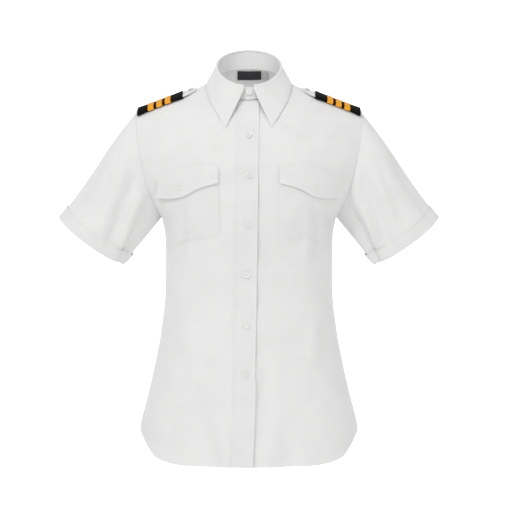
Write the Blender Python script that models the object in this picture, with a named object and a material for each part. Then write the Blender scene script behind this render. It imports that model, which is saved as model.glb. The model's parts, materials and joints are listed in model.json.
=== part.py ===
"""A short-sleeved pilot shirt in a fitted cut, buttoned up and filled out as if worn, with nobody in it.

The origin is at the base of the neck, level with the shoulder points. +X is the wearer's left, -Y the
front and +Z up. Each face of the body is one smooth surface over two parameters:
    across  -1 at the wearer's right edge, 0 down the centre, 1 at the left edge
    up      -1 at the hem, 0 level with the armpits, 1 at the shoulder seam
The inner edge of a face is the centre line and then the neckline, and its outer edge is the side seam
and then the armhole. Every cloth piece is a wall built from a grid of points on such a surface.
"""

import math

import bpy
import numpy as np
from mathutils import Vector
from mathutils.bvhtree import BVHTree

MM = 0.001
FRONT = -1
BACK = 1

CLOTH = 1.2 * MM  # wall of the body and sleeves
DOUBLED = 1.5 * MM  # wall of what is made of two layers: bands, collar, flaps and straps
SEAM = 0.34 * MM  # gap between two pieces that are sewn edge to edge
LIFT = 0.6 * MM  # gap under what follows the same rows as the piece beneath it
CLEAR = 0.35 * MM  # gap under what is laid over the flats of another piece

HEM_ROWS = 12
CENTRE_ROWS = 8
NECK_ROWS = 6
YOKE_ROWS = CENTRE_ROWS + NECK_ROWS
COLLAR_LEVEL = CENTRE_ROWS / YOKE_ROWS  # value of up at the neck pit and at the nape
PANEL_COLUMNS = 16
ARMPIT_ROW = HEM_ROWS
COLLAR_ROW = HEM_ROWS + CENTRE_ROWS
ALL_ROWS = range(HEM_ROWS + YOKE_ROWS + 1)
SLEEVE_ROWS = 7
CUFF_ROWS = 3
CUFF_WIDTH = 24 * MM


def table(columns, *rows):
    """A table with named columns, its lengths given in millimetres."""
    values = np.array(rows, float).T
    lengths = ("z", "x", "y", "half_width", "front", "back", "half", "depth", "width", "reach")
    scaled = {}
    for name, column in zip(columns.split(), values):
        scaled[name] = column * MM if name.split(".")[-1] in lengths else column
    return scaled


# The sides of the body seen from the front, and how square its sections are.
SIDES = table(
    "z half_width fullness",
    (-700, 201, 0.60),
    (-618, 196, 0.60),
    (-551, 180.5, 0.60),
    (-505, 170, 0.61),
    (-441, 158, 0.62),
    (-370, 150.5, 0.64),
    (-320, 150, 0.65),
    (-270, 151, 0.66),
    (-238, 157, 0.66),
)
# How far the centre front and the centre back stand out, seen from the side.
FRONT_LINE = table(
    "z reach",
    (-700, 118),
    (-618, 116),
    (-551, 112),
    (-441, 103),
    (-370, 100),
    (-320, 104),
    (-270, 112),
    (-200, 121),
    (-150, 119),
    (-100, 106),
    (-60, 86),
    (-32, 65),
)
BACK_LINE = table(
    "z reach",
    (-700, 121),
    (-618, 120),
    (-551, 116),
    (-441, 99),
    (-370, 90),
    (-320, 91),
    (-238, 103),
    (-180, 110),
    (-110, 110),
    (-50, 99),
    (0, 80),
    (34, 62),
)
# The shirt-tail hem, from the centre to the side seam.
HEM = table(
    "across z",
    (0.0, -677),
    (0.3, -676),
    (0.45, -673),
    (0.6, -664),
    (0.72, -645),
    (0.85, -626),
    (1.0, -618),
)
ARMPIT_Z = -238 * MM
ARMPIT_DIP = 20 * MM  # how far the row that ends at the armpits runs below them across the chest
ARMPIT_DIP_POWER = 8
ARMPIT_BLEND = 0.4  # value of up where the rows have left the armpits' dip behind
SHOULDER_Z = -50 * MM
ARMHOLE_DEPTH = {FRONT: 58 * MM, BACK: 60 * MM}
ARMHOLE = table(
    "z x",
    (-238, 157),
    (-225, 164),
    (-205, 173),
    (-172, 184),
    (-132, 193),
    (-92, 199),
    (-50, 203),
)
# Which way a face heads as it meets the armhole, by its value of up.
ARMHOLE_HEADING = table(
    "up out round down",
    (0.0, 0.00, 1.00, 0.00),
    (0.15, 0.30, 0.95, 0.00),
    (0.35, 0.62, 0.78, 0.02),
    (0.5, 0.76, 0.65, 0.05),
    (0.7, 0.86, 0.48, 0.14),
    (0.85, 0.92, 0.26, 0.26),
    (1.0, 0.93, 0.00, 0.366),
)
NECK_HALF_WIDTH = 63 * MM
NECK_HALF_DEPTH = 63.5 * MM
NECK_Y = -1.5 * MM
PIT_Z = -32 * MM
NAPE_Z = 34 * MM
NECK_SIDE_RISE = 4 * MM
# How steeply the body falls away from the neckline, by the angle round the neck from the pit.
NECK_SLOPE = table("angle fall", (0, 53), (45, 36), (90, 21.5), (135, 44), (180, 68))

# Soft folds of the body: from (x, z) to (end.x, end.z), seen from the front or from the back.
FOLDS = table(
    "face x z end.x end.z half depth",
    (-1, -52, -560, -72, -720, 26, -5.0),
    (-1, 26, -540, 30, -640, 16, -3.5),
    (-1, 70, -590, 84, -720, 24, -4.5),
    (1, -60, -300, -66, -470, 22, -4.0),
    (1, 62, -290, 70, -480, 24, -4.0),
    (1, -20, -560, -30, -720, 30, -4.5),
    (1, 80, -580, 92, -720, 26, -4.5),
)
# Folds of a sleeve: degrees round it from the underarm to the front, at its start and at its end.
SLEEVE_FOLDS = table(
    "angle end.angle from to half depth",
    (84, 60, 0.0, 0.95, 15, -5.0),
    (60, 46, -0.1, 0.75, 10, 2.5),
    (40, 26, 0.1, 1.1, 9, -3.5),
    (300, 322, 0.0, 1.0, 15, -4.0),
    (266, 280, 0.2, 1.1, 14, -2.5),
)

PLACKET_HALF_WIDTH = 19 * MM
PLACKET_TOP_Z = -35.5 * MM
UNDERLAP = 11 * MM  # how far the fronts' edges lie to the wearer's right of the placket's middle
PLACKET_LINE = table("z x", (-700, -13), (-620, -10), (-540, -8.5), (-430, -6.5), (-230, -3.5), (-60, -1))
BUTTONS = table("z", (-97,), (-167,), (-253,), (-341,), (-430,), (-514,))["z"]
BUTTON_RADIUS = 5.6 * MM
BUTTON_THICKNESS = 2.4 * MM
SMALL_BUTTON_RADIUS = 5.0 * MM

POCKET_SECTION = 164 * MM  # radius that spreads the pockets' points round the chest
POCKET_TOP = table("x z", (53, -158), (100, -162), (157, -178))
POCKET_BOTTOM = table("x z", (50, -270), (92, -277), (145, -292))
FLAP_TOP = table("x z", (53, -149), (100, -149), (130, -156), (159, -169))
FLAP_BOTTOM = table("x z", (53, -181), (84, -189), (119, -205), (132, -206), (159, -203))
FLAP_BUTTON = (118 * MM, -186 * MM)

RIM_DIRECTION = (0.37, 0.53, 1.0)
LAYING_ROUNDS = 3
LAYING_STEPS = 4  # points tried along each side of a cell
LAYING_REACH = 15 * MM

ROLL_HALF_WIDTH = 57 * MM
ROLL_HALF_DEPTH = 62 * MM
ROLL_FRONT_Z = -9.5 * MM
ROLL_BACK_Z = 66 * MM
STAND_OVERLAP = 15  # degrees that each end of the stand runs past the centre front
STAND_STEP = 90 // NECK_ROWS
# The edge of the collar leaf, by the angle of the point of the roll that it hangs from.
LEAF_POINT_ANGLE = 8
LEAF_FRONT = table("angle x z", (8, 40, -82), (24, 52, -63), (38, 63, -44), (54, 71, -27))
LEAF_SIDE = table("angle x y", (72, 76, -18), (90, 76, 4), (108, 71, 26))
LEAF_BACK = table("angle x y z", (135, 50, 54, 23), (158, 26, 68, 25), (180, 0, 72, 26))
LEAF_GAP = 3.4 * MM  # height of the leaf's visible side over the body, at its edge
# The visible side of the leaf where it turns over, by how far out and up it is from the stand's edge.
LEAF_ROLL = table("x z", (-1.5, 0.5), (-1.3, 2.5), (0.6, 3.9), (3.1, 2.6), (4.5, -1.6))
LEAF_FALL_ROWS = 4

STRAP_LIFT = table("x width", (94, 1.5), (108, 3.0), (117, 3.9), (160, 3.9), (198, 4.2), (203, 2.6))
STRAP_MIDDLE_Y = -4 * MM
STRAP_ENDS = (94 * MM, 201 * MM)
STRAP_HALF_WIDTH = 23.5 * MM
STRAP_POINT = 22 * MM
SLIDE_ENDS = (117 * MM, 197 * MM)
SLIDE_HALF_WIDTH = 26.5 * MM
SLIDE_HALF_DEPTH = 2.6 * MM
SLIDE_WALL = 1.3 * MM
BARS = table("x end.x", (138.5, 148.5), (153.5, 163.5), (168.5, 178.5))

LABEL_DEPTH = 2.5 * MM  # from the back's outer side in to the label, which hangs just clear of it
LABEL_WALL = 1 * MM

SHIRT_WHITE = (0.80, 0.80, 0.79, 1.0)
BUTTON_WHITE = (0.86, 0.86, 0.84, 1.0)
SLIDE_BLACK = (0.012, 0.012, 0.014, 1.0)
BAR_GOLD = (0.90, 0.46, 0.03, 1.0)
LABEL_BLACK = (0.02, 0.02, 0.024, 1.0)


def unit(vectors):
    return vectors / np.linalg.norm(vectors, axis=-1, keepdims=True)


def ease(value):
    value = np.clip(value, 0.0, 1.0)
    return value * value * (3 - 2 * value)


def smooth(knots, values, at):
    """A monotone cubic through (knots, values), held flat beyond the ends."""
    spans = np.diff(knots)
    slopes = np.diff(values) / spans
    same_way = slopes[1:] * slopes[:-1] > 0
    total = np.where(same_way, slopes[1:] + slopes[:-1], 1.0)
    inner = np.where(same_way, 2 * slopes[1:] * slopes[:-1] / total, 0.0)
    tangents = np.concatenate([slopes[:1], inner, slopes[-1:]])
    at = np.clip(at, knots[0], knots[-1])
    k = np.clip(np.searchsorted(knots, at) - 1, 0, len(spans) - 1)
    t = (at - knots[k]) / spans[k]
    rise = values[k] * (1 + 2 * t) * (1 - t) ** 2 + values[k + 1] * t * t * (3 - 2 * t)
    return rise + spans[k] * (tangents[k] * t * (1 - t) ** 2 - tangents[k + 1] * t * t * (1 - t))


def read(rows, name, key, at):
    """A named column of a table at a value of its key column."""
    return smooth(rows[key], rows[name], np.asarray(at, float))


def bezier(p0, p1, p2, p3, t):
    s = 1 - t
    return s**3 * p0 + 3 * s * s * t * p1 + 3 * s * t * t * p2 + t**3 * p3


def stack(x, y, z):
    return np.stack(np.broadcast_arrays(x, y, z), axis=-1)


def centre_reach(face, z):
    line = FRONT_LINE if face == FRONT else BACK_LINE
    return read(line, "reach", "z", z)


def neckline(angle):
    """The neck seam, by degrees round the neck from the pit at the front to the nape at 180."""
    turn = np.radians(angle)
    x = NECK_HALF_WIDTH * np.sin(turn)
    y = NECK_Y - NECK_HALF_DEPTH * np.cos(turn)
    middle_z = (PIT_Z + NAPE_Z) / 2
    z = middle_z - (NAPE_Z - PIT_Z) / 2 * np.cos(turn) + NECK_SIDE_RISE * np.sin(turn) ** 2
    return stack(x, y, z)


def neck_angle(face, up):
    from_centre = 90 * np.clip((up - COLLAR_LEVEL) / (1 - COLLAR_LEVEL), 0, 1)
    return from_centre if face == FRONT else 180 - from_centre


def inner_edge(face, up):
    """The centre line up to the neck, then the neckline to the shoulder seam."""
    top_z = PIT_Z if face == FRONT else NAPE_Z
    z = ARMPIT_Z + (top_z - ARMPIT_Z) * np.clip(up / COLLAR_LEVEL, 0, 1)
    centre = stack(0.0 * z, face * centre_reach(face, z), z)
    return np.where((up <= COLLAR_LEVEL)[..., None], centre, neckline(neck_angle(face, up)))


def inner_heading(face, up):
    """Which way a row sets off: straight across at the armpits, square to the neckline at the top."""
    tiny = 1e-4
    below = np.clip(up, tiny, COLLAR_LEVEL)
    climb = unit(inner_edge(face, below) - inner_edge(face, below - tiny))
    tilt = np.radians(45) * (below / COLLAR_LEVEL) ** 2
    centre = stack(np.cos(tilt), 0 * tilt, 0 * tilt) - climb * np.sin(tilt)[..., None]
    angle = neck_angle(face, up)
    along = unit(neckline(angle - face) - neckline(angle + face))
    fall = np.radians(read(NECK_SLOPE, "fall", "angle", angle))
    turn = np.radians(angle)
    outward = stack(np.cos(fall) * np.sin(turn), -np.cos(fall) * np.cos(turn), -np.sin(fall))
    share = np.radians(45 + 45 * np.clip((up - COLLAR_LEVEL) / (1 - COLLAR_LEVEL), 0, 1))[..., None]
    neck = unit(along * np.cos(share) + outward * np.sin(share))
    return np.where((up <= COLLAR_LEVEL)[..., None], centre, neck)


def armhole(face, up):
    turn = math.pi * up
    z = (ARMPIT_Z + SHOULDER_Z) / 2 - (SHOULDER_Z - ARMPIT_Z) / 2 * np.cos(turn)
    y = face * ARMHOLE_DEPTH[face] * np.sin(turn) ** 0.95
    return stack(read(ARMHOLE, "x", "z", z), y, z)


def row_to_armhole(face, across, up):
    """A row from the centre or the neckline out to the armhole."""
    start, end = inner_edge(face, up), armhole(face, up)
    heading = stack(
        read(ARMHOLE_HEADING, "out", "up", up),
        face * -1.0 * read(ARMHOLE_HEADING, "round", "up", up),
        -read(ARMHOLE_HEADING, "down", "up", up),
    )
    chord = np.linalg.norm(end - start, axis=-1)[..., None]
    half_width = read(SIDES, "half_width", "z", ARMPIT_Z)
    reach = centre_reach(face, ARMPIT_Z)
    square = read(SIDES, "fullness", "z", ARMPIT_Z) / math.hypot(half_width, reach)
    rise = ease(up)[..., None]
    first = chord * (square * half_width * (1 - rise) + 0.36 * rise)
    last = chord * (square * reach * (1 - rise) + 0.36 * rise)
    leaving = inner_heading(face, up)
    return bezier(start, start + leaving * first, end - unit(heading) * last, end, across[..., None])


def above_armpits(face, across, up):
    """A row to the armhole, which near the armpits bends down to the top row below them."""
    level = 0.0 * up
    dip = below_armpits(face, across, level) - row_to_armhole(face, across, level)
    return row_to_armhole(face, across, up) + dip * (1 - ease(up / ARMPIT_BLEND))[..., None]


def below_armpits(face, across, up):
    """A row of the body's section, dipping between the armpits and following the hem at the bottom."""
    hem = read(HEM, "z", "across", across)
    top = ARMPIT_Z - ARMPIT_DIP * (1 - across**ARMPIT_DIP_POWER)
    z = top + (hem - top) * -up
    half_width = read(SIDES, "half_width", "z", z)
    fullness = read(SIDES, "fullness", "z", z)
    outward = bezier(0.0, fullness, 1.0, 1.0, across)
    forward = bezier(1.0, 1.0, fullness, 0.0, across)
    return stack(half_width * outward, face * centre_reach(face, z) * forward, z)


def folded(face, x, z):
    """How far the folds of a face push its cloth out."""
    total = 0.0 * x
    for row in range(len(FOLDS["face"])):
        if FOLDS["face"][row] != face:
            continue
        fold = {name: column[row] for name, column in FOLDS.items()}
        along = (z - fold["z"]) / (fold["end.z"] - fold["z"])
        middle = fold["x"] + (fold["end.x"] - fold["x"]) * along
        window = ease(4 * along) * ease(4 * (1 - along))
        total = total + fold["depth"] * window * np.exp(-(((x - middle) / fold["half"]) ** 2))
    return total


def body(face, across, up):
    """Points of the body's front or back."""
    across, up = np.broadcast_arrays(np.asarray(across, float), np.asarray(up, float))
    share = np.clip(np.abs(across), 0, 1)
    low = below_armpits(face, share, np.clip(up, -1, 0))
    high = above_armpits(face, share, np.clip(up, 0, 1))
    points = np.where((up < 0)[..., None], low, high)
    points[..., 0] *= np.where(across < 0, -1.0, 1.0)
    points[..., 1] += face * folded(face, points[..., 0], points[..., 2]) * (1 - share**6)
    return points


def locate(face, axes, wanted, start=(0.0, 0.3)):
    """(across, up) of the points of a face whose coordinates along two axes are wanted."""
    spot = np.zeros(wanted.shape) + start
    spot[..., 0] = np.copysign(np.clip(np.abs(wanted[..., 0]) / (200 * MM), 0.05, 0.9), wanted[..., 0])
    for _ in range(60):
        here = body(face, spot[..., 0], spot[..., 1])[..., axes]
        tiny = np.where(spot > 0, -1e-4, 1e-4)
        aside = body(face, spot[..., 0] + tiny[..., 0], spot[..., 1])[..., axes]
        above = body(face, spot[..., 0], spot[..., 1] + tiny[..., 1])[..., axes]
        by_across = (aside - here) / tiny[..., :1]
        by_up = (above - here) / tiny[..., 1:]
        miss = wanted - here
        area = by_across[..., 0] * by_up[..., 1] - by_across[..., 1] * by_up[..., 0]
        move = stack(
            (miss[..., 0] * by_up[..., 1] - miss[..., 1] * by_up[..., 0]) / area,
            (miss[..., 1] * by_across[..., 0] - miss[..., 0] * by_across[..., 1]) / area,
            0.0,
        )[..., :2]
        spot = spot + np.clip(move, -0.08, 0.08)
        spot = np.clip(spot, -1, 1)
    return spot


def seen_from_front(x, z, face=FRONT):
    """Points of a face at the given x and z."""
    spot = locate(face, (0, 2), stack(x, z, 0.0)[..., :2])
    return body(face, spot[..., 0], spot[..., 1])


def seen_from_above(x, y):
    """Points of the shoulders at the given x and y, on the front or the back of the shoulder seam."""
    wanted = stack(x, y, 0.0)[..., :2]
    found = []
    for face in (FRONT, BACK):
        spot = locate(face, (0, 1), wanted, (0.0, 0.85))
        found.append(body(face, spot[..., 0], spot[..., 1]))
    ridge = NECK_Y * (1 - np.clip((np.abs(wanted[..., 0]) - 63 * MM) / (140 * MM), 0, 1))
    return np.where((wanted[..., 1] < ridge)[..., None], found[0], found[1])


def sleeve(side, angle, along):
    """Points of a sleeve, by degrees round it from the underarm through the front, and by 0 to 1 along it."""
    angle, along = np.broadcast_arrays(np.asarray(angle, float), np.asarray(along, float))
    front = armhole(FRONT, np.clip(angle / 180, 0, 1))
    back = armhole(BACK, np.clip((360 - angle) / 180, 0, 1))
    start = np.where((angle <= 180)[..., None], front, back)
    turn = np.radians(angle)[..., None]
    middle = np.array((283, 0, -278.5)) * MM
    outer = np.array((58, 0, 41.5)) * MM
    forward = np.array((3, -47, -11)) * MM
    end = middle - outer * np.cos(turn) + forward * np.sin(turn)
    bulge = np.sin(turn)
    leaving = unit(np.array((0.62, 0, -0.78)) + np.abs(bulge) * (0.22, 0, 0.16) + bulge * (0, -0.36, 0))
    arriving = unit(np.array((0.66, 0, -0.75)) + bulge * (0, 0.06, 0))
    chord = np.linalg.norm(end - start, axis=-1)[..., None]
    t = along[..., None]
    points = bezier(start, start + leaving * chord * 0.36, end - arriving * chord * 0.33, end, t)
    outward = unit(points - (middle * t + np.array((172, 0, -150)) * MM * (1 - t)))
    push = 0.0 * along
    for row in range(len(SLEEVE_FOLDS["angle"])):
        fold = {name: column[row] for name, column in SLEEVE_FOLDS.items()}
        share = (along - fold["from"]) / (fold["to"] - fold["from"])
        crest = fold["angle"] + (fold["end.angle"] - fold["angle"]) * share
        window = ease(4 * share) * ease(4 * (1 - share)) * ease(8 * along)
        push = push + fold["depth"] * window * np.exp(-(((angle - crest) / (fold["half"] / MM)) ** 2))
    points = points + outward * push[..., None]
    points[..., 0] *= side
    return points


def flats_of(*names):
    """The triangles of pieces already made, for laying another piece over them."""
    points, triangles = [], []
    for name in names:
        mesh = bpy.data.objects[name].data
        mesh.calc_loop_triangles()
        first = len(points)
        points += [vertex.co.copy() for vertex in mesh.vertices]
        triangles += [[first + corner for corner in flat.vertices] for flat in mesh.loop_triangles]
    return BVHTree.FromPolygons(points, triangles, all_triangles=True)


def on_flats(grid, row, column):
    """A point on a grid's flat triangles, each cell cut from its first corner to the opposite one."""
    r = min(int(row), grid.shape[0] - 2)
    c = min(int(column), grid.shape[1] - 2)
    u, v = row - r, column - c
    low, right, far, above = grid[r, c], grid[r, c + 1], grid[r + 1, c + 1], grid[r + 1, c]
    if u <= v:
        return low + (right - low) * v + (far - right) * u
    return low + (above - low) * u + (far - above) * v


def laid(grid, normals, under, gap):
    """A grid moved along its normals until its flats keep a gap over the flats of what is under it."""
    rows, columns = grid.shape[:2]
    lift = np.full((rows, columns), gap)
    for _ in range(LAYING_ROUNDS):
        moved = grid + normals * lift[..., None]
        short = np.zeros((rows, columns))
        for row in np.arange(0, rows - 1 + 1e-9, 1 / LAYING_STEPS):
            for column in np.arange(0, columns - 1 + 1e-9, 1 / LAYING_STEPS):
                out = unit(on_flats(normals, row, column))
                start = on_flats(moved, row, column) + out * LAYING_REACH
                distance = under.ray_cast(Vector(start), Vector(-out), 2 * LAYING_REACH)[3]
                if distance is None:
                    continue
                lack = gap - (distance - LAYING_REACH)
                above = slice(math.floor(row), math.ceil(row) + 1)
                beside = slice(math.floor(column), math.ceil(column) + 1)
                short[above, beside] = np.maximum(short[above, beside], lack)
        lift += short
    return grid + normals * lift[..., None]


def grid_normals(grid, around=False):
    """Unit normals of a grid, by central differences: across the columns, then up the rows."""
    if around:
        by_column = np.roll(grid, -1, axis=1) - np.roll(grid, 1, axis=1)
    else:
        by_column = np.gradient(grid, axis=1)
    return unit(np.cross(by_column, np.gradient(grid, axis=0)))


def grid_faces(rows, columns, around=False, first=0):
    wide = columns if around else columns - 1
    faces = []
    for r in range(rows - 1):
        for c in range(wide):
            right = (c + 1) % columns
            low, high = first + r * columns, first + (r + 1) * columns
            faces.append((low + c, low + right, high + right, high + c))
    return faces


def turned_over(faces):
    """The same faces seen from the other side, cut along the same diagonals."""
    return [face[:1] + face[:0:-1] for face in faces]


def material(name, colour, roughness, metallic=0.0):
    found = bpy.data.materials.get(name) or bpy.data.materials.new(name)
    found.use_nodes = True
    shader = found.node_tree.nodes["Principled BSDF"]
    shader.inputs["Base Color"].default_value = colour
    shader.inputs["Roughness"].default_value = roughness
    shader.inputs["Metallic"].default_value = metallic
    found.diffuse_color = colour
    return found


def shirt_cloth():
    return material("shirt_cloth", SHIRT_WHITE, 0.85)


def add_object(name, points, faces, finish):
    mesh = bpy.data.meshes.new(name)
    mesh.from_pydata([tuple(point) for point in points], [], faces)
    mesh.materials.append(finish)
    mesh.shade_smooth()
    mesh.set_sharp_from_angle(angle=math.radians(40))
    added = bpy.data.objects.new(name, mesh)
    bpy.context.scene.collection.objects.link(added)
    return added


def add_wall(name, points, faces, normals, low, high, finish):
    """A closed wall on an open surface, from low to high along the normals."""
    count = len(points)
    edges = {}
    for face in faces:
        for a, b in zip(face, face[1:] + face[:1]):
            edges[(a, b)] = True
    shell = list(faces)
    for face in faces:
        shell.append(tuple(corner + count for corner in face[:1] + face[:0:-1]))
    for a, b in edges:
        if (b, a) in edges:
            continue
        rim = (b, a, a + count, b + count)
        # Two pieces that meet run their rims opposite ways, so this picks the same diagonal on both.
        if (points[a] - points[b]) @ RIM_DIRECTION > 0:
            rim = rim[1:] + rim[:1]
        shell.append(rim)
    both = np.concatenate([points + normals * high, points + normals * low])
    return add_object(name, both, shell, finish)


def add_sheet(name, grid, low, high, finish, around=False, flip=False):
    """A wall on one grid, with the grid's own normals."""
    normals = grid_normals(grid, around)
    faces = grid_faces(*grid.shape[:2], around)
    if flip:
        normals = -normals
        faces = turned_over(faces)
    return add_wall(name, grid.reshape(-1, 3), faces, normals.reshape(-1, 3), low, high, finish)


class Patch:
    """A grid of a sewn piece, the way it faces, and the edges where it is drawn back from its seams."""

    def __init__(self, grid, flip=False, around=False, other_diagonals=False):
        self.grid = grid
        self.pulls = []
        self.faces = grid_faces(*grid.shape[:2], around)
        if other_diagonals:
            self.faces = [face[1:] + face[:1] for face in self.faces]
        if flip:
            self.faces = turned_over(self.faces)

    def draw_back(self, rows, columns, row_step, column_step):
        """Notes an edge that is to move half a seam's gap towards the next row or column."""
        for r in rows:
            for c in columns:
                self.pulls.append((r, c, self.grid[r + row_step, c + column_step] - self.grid[r, c]))

    def drawn(self, normals):
        """The grid with its edges drawn back, square to the rims."""
        moved = self.grid.copy()
        for r, c, inward in self.pulls:
            normal = normals[point_key(self.grid[r, c])]
            moved[r, c] += unit(inward - normal * (inward @ normal)) * SEAM / 2
        return moved


def point_key(point):
    return tuple(int(value) for value in np.round(point / 1e-6))


def shared_normals(patches):
    """One normal for each place, from the faces of all patches that meet there, so that rims match."""
    sums = {}
    for patch in patches:
        points = patch.grid.reshape(-1, 3)
        for face in patch.faces:
            a, b, c, d = (points[corner] for corner in face)
            normal = np.cross(c - a, d - b)
            for corner in face:
                key = point_key(points[corner])
                sums[key] = sums.get(key, 0.0) + normal
    return {key: unit(total) for key, total in sums.items()}


def add_sewn(name, patches, normals, thickness, finish):
    """A wall on one or more patches, welded where they share points, lying inside the surface."""
    places, order, faces = {}, [], []
    directions = []
    for patch in patches:
        numbers = []
        drawn_grid = patch.drawn(normals)
        for original, drawn in zip(patch.grid.reshape(-1, 3), drawn_grid.reshape(-1, 3)):
            key = point_key(original)
            if key not in places:
                places[key] = len(order)
                order.append(drawn)
                directions.append(normals[key])
            numbers.append(places[key])
        faces += [tuple(numbers[corner] for corner in face) for face in patch.faces]
    return add_wall(name, np.array(order), faces, np.array(directions), -thickness, 0.0, finish)


def placket_x(z):
    return read(PLACKET_LINE, "x", "z", z)


def row_levels():
    low = -np.linspace(1, 0, HEM_ROWS + 1)[:-1]
    high = np.linspace(0, 1, YOKE_ROWS + 1)
    return np.concatenate([low, high])


def meeting_line(up):
    """The across value, in one row, of the line where the fronts meet under the placket."""
    if up > COLLAR_LEVEL + 1e-9:
        return 0.0
    low, high = -0.5, 0.2
    for _ in range(40):
        middle = (low + high) / 2
        point = body(FRONT, middle, up)
        if point[0] < placket_x(point[2]) - UNDERLAP:
            low = middle
        else:
            high = middle
    return (low + high) / 2


def front_patch(side):
    rows = []
    for up in row_levels():
        edge = meeting_line(up)
        span = np.linspace(0, 1, PANEL_COLUMNS)
        across = -1 + (1 + edge) * span if side < 0 else edge + (1 - edge) * span
        across = np.where(across == 0, 1e-9 * side, across)
        rows.append(body(FRONT, across, up))
    patch = Patch(np.array(rows), other_diagonals=side < 0)
    outer, inward = (0, 1) if side < 0 else (-1, -1)
    inner = -1 if side < 0 else 0
    patch.draw_back(ALL_ROWS, [outer], 0, inward)
    patch.draw_back(ALL_ROWS, [inner], 0, -inward)
    patch.draw_back([ARMPIT_ROW], [outer], -1, 0)
    patch.draw_back([COLLAR_ROW], [inner], -1, 0)
    patch.draw_back([ALL_ROWS[-1]], range(PANEL_COLUMNS), -1, 0)
    return patch


def back_patch(side):
    levels = row_levels()
    across = np.linspace(0, side, PANEL_COLUMNS)
    across[0] = 1e-9 * side
    grid = np.array([body(BACK, across, up) for up in levels])
    grid[np.abs(grid) < 1e-7] = 0.0
    patch = Patch(grid, flip=side > 0)
    patch.draw_back(ALL_ROWS, [-1], 0, -1)
    patch.draw_back(ALL_ROWS[COLLAR_ROW + 1 :], [0], 0, 1)
    patch.draw_back([COLLAR_ROW], [0], -1, 0)
    patch.draw_back([ARMPIT_ROW], [-1], -1, 0)
    patch.draw_back([ALL_ROWS[-1]], range(PANEL_COLUMNS), -1, 0)
    return patch


def sleeve_angles():
    return np.arange(2 * YOKE_ROWS) * 180 / YOKE_ROWS


def cuff_levels(side):
    """Rows of the cuff, evenly from its upper edge to the sleeve's end, by the value of along."""
    angles = sleeve_angles()
    lengths = np.linalg.norm(sleeve(side, angles, 1.0) - sleeve(side, angles, 0.0), axis=-1)
    return 1 - (CUFF_WIDTH / lengths)[None, :] * np.linspace(1, 0, CUFF_ROWS)[:, None]


def sleeve_patch(side):
    """The sleeve's rows down to the cuff's edge and then under the cuff, ending just inside it."""
    cuff = cuff_levels(side)
    upper = np.linspace(0, 1, SLEEVE_ROWS)[:-1, None] * cuff[:1]
    lower = cuff.copy()
    lower[-1] -= 0.15 * (cuff[-1] - cuff[-2])
    grid = sleeve(side, sleeve_angles()[None, :], np.concatenate([upper, lower]))
    patch = Patch(grid, flip=side > 0, around=True)
    patch.draw_back([0], range(grid.shape[1]), 1, 0)
    return patch


def roll(angle):
    """The top edge of the collar stand, where the leaf turns over."""
    turn = np.radians(angle)
    x = ROLL_HALF_WIDTH * np.sin(turn)
    y = -ROLL_HALF_DEPTH * np.cos(turn)
    middle_z = (ROLL_FRONT_Z + ROLL_BACK_Z) / 2
    z = middle_z - (ROLL_BACK_Z - ROLL_FRONT_Z) / 2 * np.cos(turn) + 4 * MM * np.sin(turn) ** 2
    return stack(x, y, z)


def overlap_push(from_front):
    """How far the upper layer stands out over the stand's lower end, by degrees from the centre front."""
    return (DOUBLED + 0.5 * MM) * ease((3 * STAND_OVERLAP - from_front) / (2 * STAND_OVERLAP))


def outward_round_neck(angle):
    turn = np.radians(angle)
    return stack(np.sin(turn), -np.cos(turn), 0.0)


def stand_patch():
    """The stand runs from under the wearer's right, round by the left and the nape, and over itself."""
    angles = np.arange(-STAND_OVERLAP, 360 + STAND_OVERLAP + 1, STAND_STEP)
    push = np.where(angles > 180, overlap_push(360 - angles), 0.0)
    outward = outward_round_neck(angles)
    low = neckline(angles) + outward * push[:, None]
    high = roll(angles) + outward * push[:, None]
    grid = np.stack([low, (low + high) / 2, high])
    patch = Patch(grid)
    patch.draw_back([0], range(len(angles)), 1, 0)
    return patch


def leaf_edge(angle):
    """The outer edge of the leaf: on the fronts near its points, and over the shoulders to the nape."""
    on_fronts = seen_from_front(LEAF_FRONT["x"], LEAF_FRONT["z"]) - (0, LEAF_GAP, 0)
    on_shoulders = seen_from_above(LEAF_SIDE["x"], LEAF_SIDE["y"]) + (0, 0, LEAF_GAP)
    hanging = stack(LEAF_BACK["x"], LEAF_BACK["y"], LEAF_BACK["z"])
    knots = np.concatenate([LEAF_FRONT["angle"], LEAF_SIDE["angle"], LEAF_BACK["angle"]])
    points = np.concatenate([on_fronts, on_shoulders, hanging])
    return np.stack([smooth(knots, points[:, axis], angle) for axis in range(3)], axis=-1)


def leaf_half(columns):
    """The leaf's visible side from its point round to the nape, its rows running from the roll down."""
    angles = LEAF_POINT_ANGLE + (180 - LEAF_POINT_ANGLE) * np.linspace(0, 1, columns) ** 1.15
    outward = outward_round_neck(angles)
    start = roll(angles) + outward * overlap_push(angles)[:, None]
    rows = []
    for out, up in zip(LEAF_ROLL["x"], LEAF_ROLL["z"]):
        rows.append(start + outward * out + np.array((0, 0, up)))
    edge = leaf_edge(angles)
    lead = 0.08 + 0.22 * ease((angles - LEAF_POINT_ANGLE) / 45)[:, None]
    falling = unit(rows[-1] - rows[-2]) * np.linalg.norm(edge - rows[-1], axis=-1)[:, None] * lead
    arriving = (edge - rows[-1]) * 0.3 - outward * 2 * MM
    for share in np.linspace(0, 1, LEAF_FALL_ROWS + 1)[1:]:
        rows.append(bezier(rows[4], rows[4] + falling, edge - arriving, edge, share))
    return np.array(rows)


def leaf_grid(columns):
    half = leaf_half(columns)
    mirrored = half[:, ::-1] * (-1, 1, 1)
    return np.concatenate([half, mirrored[:, 1:]], axis=1)


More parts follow.
